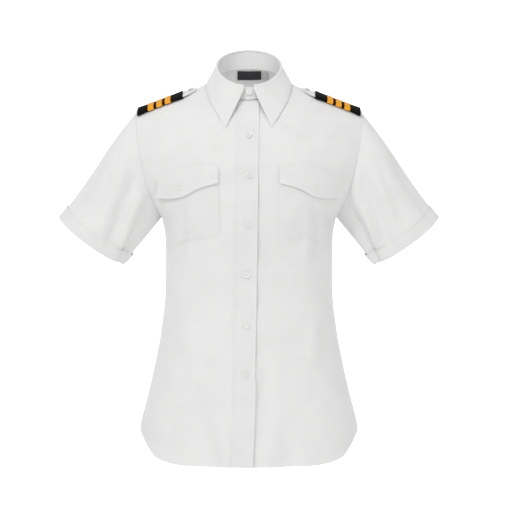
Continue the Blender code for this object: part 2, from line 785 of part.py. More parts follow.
def add_body():
    fronts = {"front_right": [front_patch(-1)], "front_left": [front_patch(1)]}
    sewn = {
        **fronts,
        "back": [back_patch(-1), back_patch(1)],
        "sleeve_right": [sleeve_patch(-1)],
        "sleeve_left": [sleeve_patch(1)],
        "collar_stand": [stand_patch()],
    }
    normals = shared_normals([patch for patches in sewn.values() for patch in patches])
    for name, patches in sewn.items():
        thickness = DOUBLED if name == "collar_stand" else CLOTH
        add_sewn(name, patches, normals, thickness, shirt_cloth())


def add_cuff(name, side):
    """The turned-up band round the end of a sleeve."""
    grid = sleeve(side, sleeve_angles()[None, :], cuff_levels(side))
    add_sheet(name, grid, LIFT, LIFT + DOUBLED, shirt_cloth(), around=True, flip=side > 0)


def placket_grid(columns):
    """The band's rows lie over the rows of the fronts."""
    levels = row_levels()[: COLLAR_ROW + 1]
    z = body(FRONT, 0.0 * levels, levels)[:, 2:]
    z[-1] = PLACKET_TOP_Z
    offset = np.linspace(-1, 1, columns)[None, :] * PLACKET_HALF_WIDTH
    return seen_from_front(placket_x(z) + offset, z + 0 * offset)


def edge_between(low, high, share, columns):
    """Rows from one (x, z) line to another, their points spread evenly round the side of the chest."""
    points = []
    for line in (low, high):
        turns = np.linspace(*np.arcsin(line["x"][[0, -1]] / POCKET_SECTION), columns)
        x = POCKET_SECTION * np.sin(turns)
        points.append(stack(x, read(line, "z", "x", x), 0.0)[..., :2])
    share = share[:, None, None]
    return points[0] * (1 - share) + points[1] * share


def lying_grid(side, low, high, rows, columns):
    """A patch of a front between two lines, its columns running towards +X."""
    spots = edge_between(low, high, np.linspace(0, 1, rows), columns)
    if side < 0:
        spots = spots[:, ::-1] * (-1, 1)
    return seen_from_front(spots[..., 0], spots[..., 1])


def add_laid(name, grid, under, thickness):
    """A sheet laid over pieces already made."""
    normals = grid_normals(grid)
    points = laid(grid, normals, flats_of(*under), CLEAR)
    faces = grid_faces(*grid.shape[:2])
    args = (points.reshape(-1, 3), faces, normals.reshape(-1, 3))
    return add_wall(name, *args, 0.0, thickness, shirt_cloth())


def height_of(name, point, normal):
    """How far the outside of a piece lies from a point under it, along the normal."""
    start = Vector(point + normal * LAYING_REACH)
    return LAYING_REACH - flats_of(name).ray_cast(start, Vector(-normal))[3]


def add_pocket(side, word):
    front, pocket, flap = "front_" + word, "pocket_" + word, "flap_" + word
    add_laid(pocket, lying_grid(side, POCKET_BOTTOM, POCKET_TOP, 9, 10), [front], CLOTH)
    add_laid(flap, lying_grid(side, FLAP_BOTTOM, FLAP_TOP, 5, 10), [front, pocket], DOUBLED)
    place, normal = on_front(side * FLAP_BUTTON[0], FLAP_BUTTON[1])
    gap = height_of(flap, place, normal) + CLEAR
    add_button("button_flap_" + word, place, normal, gap, SMALL_BUTTON_RADIUS)


def button_mesh(radius):
    """The rings of a button's turned profile, from its back to its dished face."""
    half = BUTTON_THICKNESS / 2
    profile = ((0.82, -half), (1.0, -half / 3), (1.0, half / 2), (0.86, half), (0.62, half / 3))
    points, faces = [], []
    sides = 14
    for share, height in profile:
        for k in range(sides):
            turn = 2 * math.pi * k / sides
            points.append((radius * share * math.cos(turn), radius * share * math.sin(turn), height))
    faces += grid_faces(len(profile), sides, around=True)
    faces.append(tuple(reversed(range(sides))))
    faces.append(tuple(range((len(profile) - 1) * sides, len(profile) * sides)))
    return points, faces


def add_button(name, point, normal, gap, radius=BUTTON_RADIUS):
    """A button whose back lies a gap above a point, square to the normal there."""
    side = unit(np.cross((0.0, 1.0, 0.02), normal))
    frame = np.stack([side, np.cross(normal, side), normal])
    middle = point + normal * (gap + BUTTON_THICKNESS / 2)
    points, faces = button_mesh(radius)
    finish = material("button_resin", BUTTON_WHITE, 0.25)
    return add_object(name, np.array(points) @ frame + middle, faces, finish)


def on_front(x, z):
    """The point of a front at x and z, and its normal."""
    step = 4 * MM
    aside = np.array([0, -step, step, 0, 0])
    above = np.array([0, 0, 0, -step, step])
    around = seen_from_front(x + aside, z + above)
    return around[0], unit(np.cross(around[2] - around[1], around[4] - around[3]))


def add_placket():
    add_laid("placket", placket_grid(5), ["front_right", "front_left"], DOUBLED)
    for number, z in enumerate(BUTTONS, 1):
        point, normal = on_front(float(placket_x(z)) + 1 * MM, z)
        gap = height_of("placket", point, normal) + CLEAR
        add_button(f"button_front_{number}", point, normal, gap)
    low, high = neckline(0.0), roll(0.0)
    normal = unit(np.cross((1.0, 0.0, 0.0), high - low))
    middle = low * 0.42 + high * 0.58 + np.array((0, -(DOUBLED + 0.5 * MM), 0))
    add_button("button_stand", middle, normal, LIFT)


def strap_points(side, x, offset):
    """The middle layer of a strap, by the distance out from the neck and the offset towards the back."""
    raw = seen_from_above(side * x, STRAP_MIDDLE_Y + offset)
    flip = -1 if side < 0 else 1
    normals = grid_normals(raw) * flip
    height = read(STRAP_LIFT, "width", "x", x)[..., None]
    return raw + normals * height, normals


def strap_layout(rows, columns):
    """Distances out and offsets of a strap's grid, which ends in a point at the neck."""
    x = np.linspace(*STRAP_ENDS, rows)[None, :] + np.zeros((columns, 1))
    offset = np.linspace(-1, 1, columns)[:, None] * STRAP_HALF_WIDTH + np.zeros((1, rows))
    cut = np.clip(1 - (x - STRAP_ENDS[0]) / STRAP_POINT, 0, 1)
    return x, offset * (1 - 0.72 * cut**1.5)


def add_strap(side, word):
    x, offset = strap_layout(12, 7)
    middle, normals = strap_points(side, x, offset)
    faces = grid_faces(*x.shape)
    if side < 0:
        faces = turned_over(faces)
    args = (middle.reshape(-1, 3), faces, normals.reshape(-1, 3))
    add_wall("strap_" + word, *args, -DOUBLED / 2, DOUBLED / 2, shirt_cloth())
    add_slide(side, word)
    row = x.shape[0] // 2
    place = middle[row, 1]
    add_button("button_strap_" + word, place, normals[row, 1], LIFT + DOUBLED / 2, SMALL_BUTTON_RADIUS)


def slide_ring(columns):
    """(offset, height) shares round the slide's flat section, starting over its front edge."""
    flat = np.linspace(-0.93, 0.93, columns)
    top = [(share, 1.0) for share in flat]
    back = [(1.0, 0.35), (1.0, -0.35)]
    bottom = [(share, -1.0) for share in flat[::-1]]
    front = [(-1.0, -0.35), (-1.0, 0.35)]
    return np.array(top + back + bottom + front)


def add_slide(side, word):
    ring = slide_ring(6)
    stations = np.linspace(*SLIDE_ENDS, 6)
    x = stations[None, :] + np.zeros((9, 1))
    offset = np.linspace(-1, 1, 9)[:, None] * SLIDE_HALF_WIDTH + 0 * x
    middle, normals = strap_points(side, x, offset)
    shares = np.linspace(-1, 1, 9)
    rows = []
    for column in range(len(stations)):
        place = np.stack([np.interp(ring[:, 0], shares, middle[:, column, a]) for a in range(3)], axis=-1)
        lean = np.stack([np.interp(ring[:, 0], shares, normals[:, column, a]) for a in range(3)], axis=-1)
        rows.append(place + unit(lean) * (ring[:, 1] * SLIDE_HALF_DEPTH)[:, None])
    finish = material("slide_black", SLIDE_BLACK, 0.9)
    add_sheet("slide_" + word, np.array(rows), -SLIDE_WALL, 0.0, finish, around=True, flip=side > 0)
    gold = material("bar_gold", BAR_GOLD, 0.55)
    for number in range(len(BARS["x"])):
        x = np.linspace(BARS["x"][number], BARS["end.x"][number], 3)[None, :] + np.zeros((7, 1))
        offset = np.linspace(-0.96, 0.96, 7)[:, None] * SLIDE_HALF_WIDTH + 0 * x
        middle, normals = strap_points(side, x, offset)
        faces = grid_faces(*x.shape)
        if side < 0:
            faces = turned_over(faces)
        low = SLIDE_HALF_DEPTH + LIFT
        args = (middle.reshape(-1, 3), faces, normals.reshape(-1, 3))
        add_wall(f"bar_{word}_{number + 1}", *args, low, low + 0.9 * MM, gold)


def add_label(name, x, z, shape, finish):
    """A label sewn inside the back, just under the neck seam."""
    across = np.linspace(*x, shape[1])[None, :] + np.zeros((shape[0], 1))
    height = np.linspace(*z, shape[0])[:, None] + np.zeros((1, shape[1]))
    grid = seen_from_front(across, height, BACK)
    return add_sheet(name, grid, LABEL_DEPTH, LABEL_DEPTH + LABEL_WALL, finish)


def clear_scene():
    for thing in list(bpy.data.objects):
        bpy.data.objects.remove(thing, do_unlink=True)


def build():
    clear_scene()
    add_body()
    add_sheet("collar_leaf", leaf_grid(17), -DOUBLED, 0.0, shirt_cloth(), flip=True)
    add_placket()
    for side, word in ((-1, "right"), (1, "left")):
        add_cuff("cuff_" + word, side)
        add_pocket(side, word)
        add_strap(side, word)
    black = material("label_black", LABEL_BLACK, 0.7)
    add_label("neck_label", (-22 * MM, 23 * MM), (16.5 * MM, 31.5 * MM), (3, 5), black)
    add_label("size_tab", (25 * MM, 36 * MM), (16 * MM, 29 * MM), (3, 3), shirt_cloth())


build()
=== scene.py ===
"""The looks of a white short-sleeved pilot shirt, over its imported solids.

Each cloth piece is a thin shell on the same surfaces as the solids, drawn finer and with more folds.
"""

import json
import math

import bmesh
import bpy
import numpy as np
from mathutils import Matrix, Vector

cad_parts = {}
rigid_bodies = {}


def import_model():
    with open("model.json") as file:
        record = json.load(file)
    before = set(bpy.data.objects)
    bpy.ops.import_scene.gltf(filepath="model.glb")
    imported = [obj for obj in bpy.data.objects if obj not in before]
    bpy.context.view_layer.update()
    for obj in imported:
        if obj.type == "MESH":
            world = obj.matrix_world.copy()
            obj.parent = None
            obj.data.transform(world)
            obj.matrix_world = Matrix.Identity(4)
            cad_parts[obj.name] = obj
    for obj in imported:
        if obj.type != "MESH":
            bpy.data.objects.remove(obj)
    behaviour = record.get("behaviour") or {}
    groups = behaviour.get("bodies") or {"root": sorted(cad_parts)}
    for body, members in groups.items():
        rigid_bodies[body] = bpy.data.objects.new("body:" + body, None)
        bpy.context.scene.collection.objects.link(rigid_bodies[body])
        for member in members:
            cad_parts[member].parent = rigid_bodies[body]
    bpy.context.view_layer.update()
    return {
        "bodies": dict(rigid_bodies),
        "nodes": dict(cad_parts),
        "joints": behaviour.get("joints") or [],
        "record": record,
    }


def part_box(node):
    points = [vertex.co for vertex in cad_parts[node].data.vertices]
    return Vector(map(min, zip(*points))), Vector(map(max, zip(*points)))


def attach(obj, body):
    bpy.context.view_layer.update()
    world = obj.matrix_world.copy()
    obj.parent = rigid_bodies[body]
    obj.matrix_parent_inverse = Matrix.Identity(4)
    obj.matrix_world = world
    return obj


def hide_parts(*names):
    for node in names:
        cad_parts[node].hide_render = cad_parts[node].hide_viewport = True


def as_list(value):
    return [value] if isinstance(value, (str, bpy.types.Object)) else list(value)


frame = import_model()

MM = 0.001
FRONT = -1
BACK = 1

THIN = 0.7 * MM  # cloth as it is drawn
HEM_TURN = 13 * MM
DOUBLED = 1.5 * MM  # wall of what is made of two layers: bands, collar, flaps and straps
SEAM = 0.34 * MM  # gap between two pieces that are sewn edge to edge

HEM_ROWS = 72
CENTRE_ROWS = 40
NECK_ROWS = 30
YOKE_ROWS = CENTRE_ROWS + NECK_ROWS
COLLAR_LEVEL = CENTRE_ROWS / YOKE_ROWS  # value of up at the neck pit and at the nape
PANEL_COLUMNS = 72
ARMPIT_ROW = HEM_ROWS
COLLAR_ROW = HEM_ROWS + CENTRE_ROWS
ALL_ROWS = range(HEM_ROWS + YOKE_ROWS + 1)
SLEEVE_ROWS = 56
CUFF_ROWS = 9
CUFF_WIDTH = 24 * MM
CUFF_REST = 0.5 * MM
CUFF_GAPE = 1.0 * MM
CUFF_THICK = 0.9 * MM

TINY = 1e-4  # a step of across or up that is small enough to measure a slope by
SEARCH_ROUNDS = 60
SEARCH_STEP = 0.08  # the most that across or up changes in a round
SEARCH_END = 1e-7  # a change too small to go on for
SIDE_X = 200 * MM  # about where across is 1, from which the search sets off
WELD = 1e-6  # metres within which two corners of patches are the same corner


def table(columns, *rows):
    """A table with named columns, its lengths given in millimetres."""
    values = np.array(rows, float).T
    lengths = ("z", "x", "y", "half_width", "front", "back", "half", "depth", "width", "reach")
    scaled = {}
    for name, column in zip(columns.split(), values):
        scaled[name] = column * MM if name.split(".")[-1] in lengths else column
    return scaled


def rows_of(rows):
    """Each row of a table, as a dict."""
    return [dict(zip(rows, values)) for values in zip(*rows.values())]


# The sides of the body seen from the front, and how square its sections are.
SIDES = table(
    "z half_width fullness",
    (-700, 201, 0.60),
    (-618, 196, 0.60),
    (-551, 180.5, 0.60),
    (-505, 170, 0.61),
    (-441, 158, 0.62),
    (-370, 150.5, 0.64),
    (-320, 150, 0.65),
    (-270, 151, 0.66),
    (-238, 157, 0.66),
)
# How far the centre front and the centre back stand out, seen from the side.
FRONT_LINE = table(
    "z reach",
    (-700, 118),
    (-618, 116),
    (-551, 112),
    (-441, 103),
    (-370, 100),
    (-320, 104),
    (-270, 112),
    (-200, 121),
    (-150, 119),
    (-100, 106),
    (-60, 86),
    (-32, 65),
)
BACK_LINE = table(
    "z reach",
    (-700, 121),
    (-618, 120),
    (-551, 116),
    (-441, 99),
    (-370, 90),
    (-320, 91),
    (-238, 103),
    (-180, 110),
    (-110, 110),
    (-50, 99),
    (0, 80),
    (34, 62),
)
# The shirt-tail hem, from the centre to the side seam.
HEM = table(
    "across z",
    (0.0, -677),
    (0.3, -676),
    (0.45, -673),
    (0.6, -664),
    (0.72, -645),
    (0.85, -626),
    (1.0, -618),
)
ARMPIT_Z = -238 * MM
ARMPIT_DIP = 20 * MM  # how far the row that ends at the armpits runs below them across the chest
ARMPIT_DIP_POWER = 8
ARMPIT_BLEND = 0.4  # value of up where the rows have left the armpits' dip behind
SHOULDER_Z = -50 * MM
ARMHOLE_DEPTH = {FRONT: 58 * MM, BACK: 60 * MM}
ARMHOLE = table(
    "z x",
    (-238, 157),
    (-225, 164),
    (-205, 173),
    (-172, 184),
    (-132, 193),
    (-92, 199),
    (-50, 203),
)
# Which way a face heads as it meets the armhole, by its value of up.
ARMHOLE_HEADING = table(
    "up out round down",
    (0.0, 0.00, 1.00, 0.00),
    (0.15, 0.30, 0.95, 0.00),
    (0.35, 0.62, 0.78, 0.02),
    (0.5, 0.76, 0.65, 0.05),
    (0.7, 0.86, 0.48, 0.14),
    (0.85, 0.92, 0.26, 0.26),
    (1.0, 0.93, 0.00, 0.366),
)
RIDGE_RUN = 140 * MM  # from the neck's side out to where the shoulder seam has come level with the armhole
NECK_HALF_WIDTH = 63 * MM
NECK_HALF_DEPTH = 63.5 * MM
NECK_Y = -1.5 * MM
PIT_Z = -32 * MM
NAPE_Z = 34 * MM
NECK_SIDE_RISE = 4 * MM
# How steeply the body falls away from the neckline, by the angle round the neck from the pit.
NECK_SLOPE = table("angle fall", (0, 53), (45, 36), (90, 21.5), (135, 44), (180, 68))

FOLD_WANDER = 0.3  # share of its half width by which a fold wanders
FOLD_SWELL = 0.3  # share of its depth by which it varies
FOLD_FADE = 3.2  # parts of its length, of which the first and the last fade
# Soft folds of the body: from (x, z) to (end.x, end.z), seen from the front or from the back.
FOLDS = table(
    "face x z end.x end.z half depth lean",
    (-1, -114, -205, -121, -330, 8, -4.6, 0.2),
    (-1, -101, -210, -106, -330, 8, 3.0, 0.0),
    (-1, 115, -205, 120, -330, 8, -4.6, -0.2),
    (-1, 102, -210, 106, -330, 8, 2.7, 0.0),
    (-1, -84, -520, -62, -720, 17, -7.4, 0.2),
    (-1, -48, -600, -42, -720, 9, 4.0, 0.0),
    (-1, -96, -470, -104, -620, 12, 3.4, 0.0),
    (-1, 27, -500, 22, -660, 14, -6.1, -0.2),
    (-1, 36, -620, 34, -730, 9, 4.0, 0.0),
    (-1, 66, -560, 84, -720, 19, -6.8, 0.2),
    (-1, -108, -390, -112, -520, 13, 3.5, 0.0),
    (-1, 110, -390, 116, -520, 13, 3.5, 0.0),
    (-1, -128, -262, -40, -300, 12, -2.2, 0.3),
    (-1, 128, -262, 44, -296, 12, -2.2, -0.3),
    (-1, 24, -560, -18, -572, 6, -1.2, 0.0),
    (1, -60, -290, -66, -470, 18, -6.2, 0.2),
    (1, 62, -280, 70, -480, 20, -6.2, -0.2),
    (1, 8, -320, 2, -500, 15, -3.5, 0.1),
    (1, -20, -540, -30, -720, 24, -6.8, 0.2),
    (1, 80, -560, 92, -720, 22, -6.8, -0.2),
    (1, -104, -540, -118, -720, 18, -4.9, 0.1),
    (1, 34, -600, 40, -720, 14, 4.0, 0.0),
    (1, -140, -210, -30, -250, 16, -4.3, 0.3),
    (1, 140, -205, 34, -246, 16, -4.3, -0.3),
    (1, -128, -150, -40, -120, 14, -3.0, 0.2),
    (1, 128, -146, 44, -116, 14, -3.0, -0.2),
    (1, -30, -380, 44, -400, 10, -2.7, 0.2),
)
# Folds of a sleeve: degrees round it from the underarm to the front, at its start and at its end.
SLEEVE_FOLDS = table(
    "angle end.angle from to spread depth",
    (84, 60, 0.0, 0.98, 13, -10.1),
    (62, 46, -0.1, 0.85, 8, 4.7),
    (42, 26, 0.05, 1.1, 8, -8.6),
    (24, 14, 0.2, 1.1, 7, 3.9),
    (112, 100, 0.15, 0.9, 10, -3.1),
    (140, 150, 0.3, 1.1, 12, -2.8),
    (300, 322, 0.0, 1.0, 12, -8.6),
    (280, 300, 0.1, 0.9, 8, 3.8),
    (262, 276, 0.2, 1.1, 11, -5.5),
    (332, 345, 0.1, 1.1, 8, -4.7),
    (236, 244, 0.3, 1.1, 12, -3.1),
)

# The sleeve's axis from inside the armhole to the middle of its end, and the oval of that end round it.
SLEEVE_ROOT = np.array((172, 0, -150)) * MM
SLEEVE_END = np.array((283, 0, -278.5)) * MM
SLEEVE_END_OUTER = np.array((58, 0, 41.5)) * MM
SLEEVE_END_FORWARD = np.array((3, -47, -11)) * MM
# Which way the sleeve leaves the armhole and arrives at its end, and what is added at its front and back.
SLEEVE_LEAVING = np.array((0.62, 0, -0.78))
LEAVING_SPREAD, LEAVING_FORWARD = (0.22, 0, 0.16), (0, -0.36, 0)
SLEEVE_ARRIVING, ARRIVING_FORWARD = np.array((0.66, 0, -0.75)), (0, 0.06, 0)
LEAVING_SHARE, ARRIVING_SHARE = 0.36, 0.33  # how far along the sleeve each heading holds

PLACKET_HALF_WIDTH = 19 * MM
PLACKET_TOP_Z = -35.5 * MM
PLACKET_SEAM = 5.5 * MM  # from each edge in to its stitches
PLACKET_REST = 0.5 * MM
PLACKET_GAPE = 2.2 * MM
GAPE_TOP_Z = -140 * MM  # where it starts to grow downwards, and over what height
GAPE_RUN = 120 * MM
BUTTON_HOLD = 8 * MM  # how far from its middle a button holds the band down, and lets go of it
BUTTON_LET_GO = 30 * MM
UNDERLAP = 11 * MM  # how far the fronts' edges lie to the wearer's right of the placket's middle
PLACKET_LINE = table("z x", (-700, -13), (-620, -10), (-540, -8.5), (-430, -6.5), (-230, -3.5), (-60, -1))
BUTTONS = table("z", (-97,), (-167,), (-253,), (-341,), (-430,), (-514,))["z"]
BUTTON_RADIUS = 5.6 * MM
SMALL_BUTTON_RADIUS = 5.0 * MM
BUTTON_SIDES = 48
# The button's outline from below, up over the rim and in to the dish, and its holes, in shares of its radius.
BUTTON_PROFILE = (
    *((0.80, -0.20), (0.95, -0.12), (1.0, 0.0), (0.985, 0.12), (0.93, 0.19)),
    *((0.84, 0.21), (0.74, 0.18), (0.66, 0.11), (0.56, 0.07)),
)
BUTTON_HOLES = ((0.21, 0.21), (-0.21, 0.21), (-0.21, -0.21), (0.21, -0.21))
HOLE_RADIUS = 0.095

POCKET_SECTION = 164 * MM  # radius that spreads the pockets' points round the chest
POCKET_TOP = table("x z", (53, -158), (100, -162), (157, -178))
POCKET_BOTTOM = table("x z", (50, -270), (92, -277), (145, -292))
FLAP_TOP = table("x z", (53, -149), (100, -149), (130, -156), (159, -169))
FLAP_BOTTOM = table("x z", (53, -181), (84, -189), (119, -205), (132, -206), (159, -203))
FLAP_BUTTON = (118 * MM, -186 * MM)
POCKET_COLUMNS = 45
POCKET_ROWS = 49
FLAP_ROWS = 25
POCKET_REST = 0.3 * MM
POCKET_PUFF = 1.3 * MM
FLAP_REST = 0.4 * MM
FLAP_TURN = 1.1 * MM  # where it folds over its seam
FLAP_BELLY = 1.7 * MM
FLAP_HANG = 1.4 * MM  # at its lower edge
FLAP_CORNER = 5 * MM
FLAP_INNER_CORNER = 0.8 * MM

ROLL_HALF_WIDTH = 57 * MM
ROLL_HALF_DEPTH = 62 * MM
ROLL_FRONT_Z = -9.5 * MM
ROLL_BACK_Z = 66 * MM
STAND_OVERLAP = 15  # degrees that each end of the stand runs past the centre front
STAND_STEP = 90 // NECK_ROWS
# The edge of the collar leaf, by the angle of the point of the roll that it hangs from.
LEAF_POINT_ANGLE = 8
LEAF_FRONT = table("angle x z", (8, 40, -82), (24, 52, -63), (38, 63, -44), (54, 71, -27))
LEAF_SIDE = table("angle x y", (72, 76, -18), (90, 76, 4), (108, 71, 26))
LEAF_BACK = table("angle x y z", (135, 50, 54, 23), (158, 26, 68, 25), (180, 0, 72, 26))
LEAF_GAP = 3.4 * MM  # height of the leaf's visible side over the body, at its edge
# The visible side of the leaf where it turns over, by how far out and up it is from the stand's edge.
LEAF_ROLL = table("x z", (-1.5, 0.5), (-1.3, 2.5), (0.6, 3.9), (3.1, 2.6), (4.5, -1.6))
LEAF_ROLL_ROWS = 17
LEAF_FALL_ROWS = 26
LEAF_THICK = 1.3 * MM
LEAF_BELLY = 2 * MM
LEAF_LEAD = 0.08  # share of the fall that keeps the roll's direction at the points
LEAF_LEAD_BEHIND = 0.22  # what is added to it from 45 degrees on

STRAP_LIFT = table("x width", (94, 1.5), (108, 3.0), (117, 3.9), (160, 3.9), (198, 4.2), (203, 2.6))
STRAP_MIDDLE_Y = -4 * MM
STRAP_ENDS = (94 * MM, 201 * MM)
STRAP_HALF_WIDTH = 23.5 * MM
STRAP_POINT = 22 * MM
STRAP_POINT_CUT = 0.72  # share of the half width that the point takes away
STRAP_HALF_THICK = 0.6 * MM
SLIDE_ENDS = (117 * MM, 197 * MM)
SLIDE_HALF_WIDTH = 26.5 * MM
SLIDE_HALF_DEPTH = 2.6 * MM
SLIDE_THICK = 1.0 * MM
SLIDE_FLAT = 0.93  # share of its half width that lies flat
SLIDE_BEND = 0.35  # share of its half depth at which its edges are upright
SLIDE_GAPE = 0.8 * MM
SLIDE_GAPE_X = 160 * MM
BARS = table("x end.x", (138.5, 148.5), (153.5, 163.5), (168.5, 178.5))
BAR_WRAP = np.array([(-1.0, -0.5), (-1.03, 0.0), (-1.0, 0.55), (-0.975, 0.85)])
BAR_REST = 0.35 * MM
BAR_THICK = 0.5 * MM

LABEL_DEPTH = 2.5 * MM  # from the back's outer side in to the label, which hangs just clear of it
LABEL_CURL = 0.8 * MM
LABEL_THICK = 0.5 * MM
NECK_LABEL = table("x z", (-22, 16.5), (23, 31.5))
SIZE_TAB = table("x z", (25, 16), (36, 29))

STITCH = 2.1 * MM
STITCH_GAP = 0.9 * MM
STITCH_THREAD = (0.24 * MM, 0.2 * MM)  # half its width, and how high it stands
BUTTON_THREAD = (0.45 * MM, 0.4 * MM)
HEM_STITCHES = ((FRONT, -0.995, -0.22), (FRONT, 0.08, 0.995), (BACK, -0.995, 0.995))

# How each sheet is held, and the nodes that it rests on.
HELD = {
    "front": ("hung", ["back", "collar_stand"]),
    "back": ("hung", ["front_right", "front_left", "collar_stand"]),
    "sleeve": ("hung", ["back"]),
    "collar_stand": ("laid", ["front_right", "front_left", "back"]),
    "collar_leaf": ("folded", ["collar_stand"]),
    "placket": ("laid", ["front_right", "front_left"]),
    "pocket": ("laid", ["front_right", "front_left"]),
    "flap": ("laid", ["pocket_right", "pocket_left"]),
    "cuff": ("folded", ["sleeve_right", "sleeve_left"]),
    "strap": ("laid", ["front_right", "front_left", "back"]),
    "slide": ("folded", ["strap_right", "strap_left"]),
    "bar": ("laid", ["slide_right", "slide_left"]),
    "neck_label": ("hung", ["back"]),
    "size_tab": ("hung", ["back"]),
}

# Studio, in metres: floor, backdrop, lights and camera.
STAGE_REACH = 9.0
FLOOR_Z = -1.15
FLOOR_END_Y = 2.4
CURVE_Y = 6.0
CURVE_RADIUS = 2.0
WALL_TOP_Z = 5.0
BACKDROP_GLOW = 1.0
AIR_STRENGTH = 0.63
SHIRT_MIDDLE = (0, 0, -0.3)
LIGHTS = (
    ("key", (-1.9, -2.4, 2.3), SHIRT_MIDDLE, 0.8, 36),
    ("front", (1.3, -3.6, -0.2), SHIRT_MIDDLE, 1.8, 22),
    ("nape", (0.0, -0.02, -0.15), (0.0, 0.1, -0.02), 0.05, 0.07),
    ("top", (0.2, -0.6, 2.8), SHIRT_MIDDLE, 2.0, 6),
)
CAMERA_PLACE = (0.0126, -3.5, -0.308)
CAMERA_LENS = 136.7


def unit(vectors):
    return vectors / np.linalg.norm(vectors, axis=-1, keepdims=True)


def ease(value):
    value = np.clip(value, 0.0, 1.0)
    return value * value * (3 - 2 * value)


def smooth(knots, values, at):
    """A monotone cubic through (knots, values), held flat beyond the ends."""
    spans = np.diff(knots)
    slopes = np.diff(values) / spans
    same_way = slopes[1:] * slopes[:-1] > 0
    total = np.where(same_way, slopes[1:] + slopes[:-1], 1.0)
    inner = np.where(same_way, 2 * slopes[1:] * slopes[:-1] / total, 0.0)
    tangents = np.concatenate([slopes[:1], inner, slopes[-1:]])
    at = np.clip(at, knots[0], knots[-1])
    k = np.clip(np.searchsorted(knots, at) - 1, 0, len(spans) - 1)
    t = (at - knots[k]) / spans[k]
    rise = values[k] * (1 + 2 * t) * (1 - t) ** 2 + values[k + 1] * t * t * (3 - 2 * t)
    return rise + spans[k] * (tangents[k] * t * (1 - t) ** 2 - tangents[k + 1] * t * t * (1 - t))


def read(rows, name, key, at):
    """A named column of a table at a value of its key column."""
    return smooth(rows[key], rows[name], np.asarray(at, float))


def bezier(p0, p1, p2, p3, t):
    s = 1 - t
    return s**3 * p0 + 3 * s * s * t * p1 + 3 * s * t * t * p2 + t**3 * p3


def stack(x, y, z):
    return np.stack(np.broadcast_arrays(x, y, z), axis=-1)


def steps(points, axis=0):
    """Distances between neighbouring points."""
    return np.linalg.norm(np.diff(points, axis=axis), axis=-1)


def between(at, knots, points):
    """Points at given distances along a line, by straight steps between its knots."""
    return np.stack([np.interp(at, knots, points[:, axis]) for axis in range(3)], axis=-1)


def centre_reach(face, z):
    line = FRONT_LINE if face == FRONT else BACK_LINE
    return read(line, "reach", "z", z)


def round_neck(angle, half_width, half_depth, y, front_z, back_z):
    """A ring round the neck, by degrees from its front to its back at 180."""
    turn = np.radians(angle)
    fall = (back_z - front_z) / 2 * np.cos(turn)
    z = (front_z + back_z) / 2 - fall + NECK_SIDE_RISE * np.sin(turn) ** 2
    return stack(half_width * np.sin(turn), y - half_depth * np.cos(turn), z)


def neckline(angle):
    """The neck seam, by degrees round the neck from the pit at the front to the nape at 180."""
    return round_neck(angle, NECK_HALF_WIDTH, NECK_HALF_DEPTH, NECK_Y, PIT_Z, NAPE_Z)


def neck_angle(face, up):
    from_centre = 90 * np.clip((up - COLLAR_LEVEL) / (1 - COLLAR_LEVEL), 0, 1)
    return from_centre if face == FRONT else 180 - from_centre


def inner_edge(face, up):
    """The centre line up to the neck, then the neckline to the shoulder seam."""
    top_z = PIT_Z if face == FRONT else NAPE_Z
    z = ARMPIT_Z + (top_z - ARMPIT_Z) * np.clip(up / COLLAR_LEVEL, 0, 1)
    centre = stack(0.0 * z, face * centre_reach(face, z), z)
    return np.where((up <= COLLAR_LEVEL)[..., None], centre, neckline(neck_angle(face, up)))


def inner_heading(face, up):
    """Which way a row sets off: straight across at the armpits, square to the neckline at the top."""
    below = np.clip(up, TINY, COLLAR_LEVEL)
    climb = unit(inner_edge(face, below) - inner_edge(face, below - TINY))
    tilt = np.radians(45) * (below / COLLAR_LEVEL) ** 2
    centre = stack(np.cos(tilt), 0 * tilt, 0 * tilt) - climb * np.sin(tilt)[..., None]
    angle = neck_angle(face, up)
    along = unit(neckline(angle - face) - neckline(angle + face))
    fall = np.radians(read(NECK_SLOPE, "fall", "angle", angle))
    turn = np.radians(angle)
    outward = stack(np.cos(fall) * np.sin(turn), -np.cos(fall) * np.cos(turn), -np.sin(fall))
    share = np.radians(45 + 45 * np.clip((up - COLLAR_LEVEL) / (1 - COLLAR_LEVEL), 0, 1))[..., None]
    neck = unit(along * np.cos(share) + outward * np.sin(share))
    return np.where((up <= COLLAR_LEVEL)[..., None], centre, neck)


def armhole(face, up):
    turn = math.pi * up
    z = (ARMPIT_Z + SHOULDER_Z) / 2 - (SHOULDER_Z - ARMPIT_Z) / 2 * np.cos(turn)
    y = face * ARMHOLE_DEPTH[face] * np.sin(turn) ** 0.95
    return stack(read(ARMHOLE, "x", "z", z), y, z)


def row_to_armhole(face, across, up):
    """A row from the centre or the neckline out to the armhole."""
    start, end = inner_edge(face, up), armhole(face, up)
    heading = stack(
        read(ARMHOLE_HEADING, "out", "up", up),
        face * -1.0 * read(ARMHOLE_HEADING, "round", "up", up),
        -read(ARMHOLE_HEADING, "down", "up", up),
    )
    chord = np.linalg.norm(end - start, axis=-1)[..., None]
    half_width = read(SIDES, "half_width", "z", ARMPIT_Z)
    reach = centre_reach(face, ARMPIT_Z)
    square = read(SIDES, "fullness", "z", ARMPIT_Z) / math.hypot(half_width, reach)
    rise = ease(up)[..., None]
    first = chord * (square * half_width * (1 - rise) + 0.36 * rise)
    last = chord * (square * reach * (1 - rise) + 0.36 * rise)
    leaving = inner_heading(face, up)
    return bezier(start, start + leaving * first, end - unit(heading) * last, end, across[..., None])


def above_armpits(face, across, up):
    """A row to the armhole, which near the armpits bends down to the top row below them."""
    level = 0.0 * up
    dip = below_armpits(face, across, level) - row_to_armhole(face, across, level)
    return row_to_armhole(face, across, up) + dip * (1 - ease(up / ARMPIT_BLEND))[..., None]


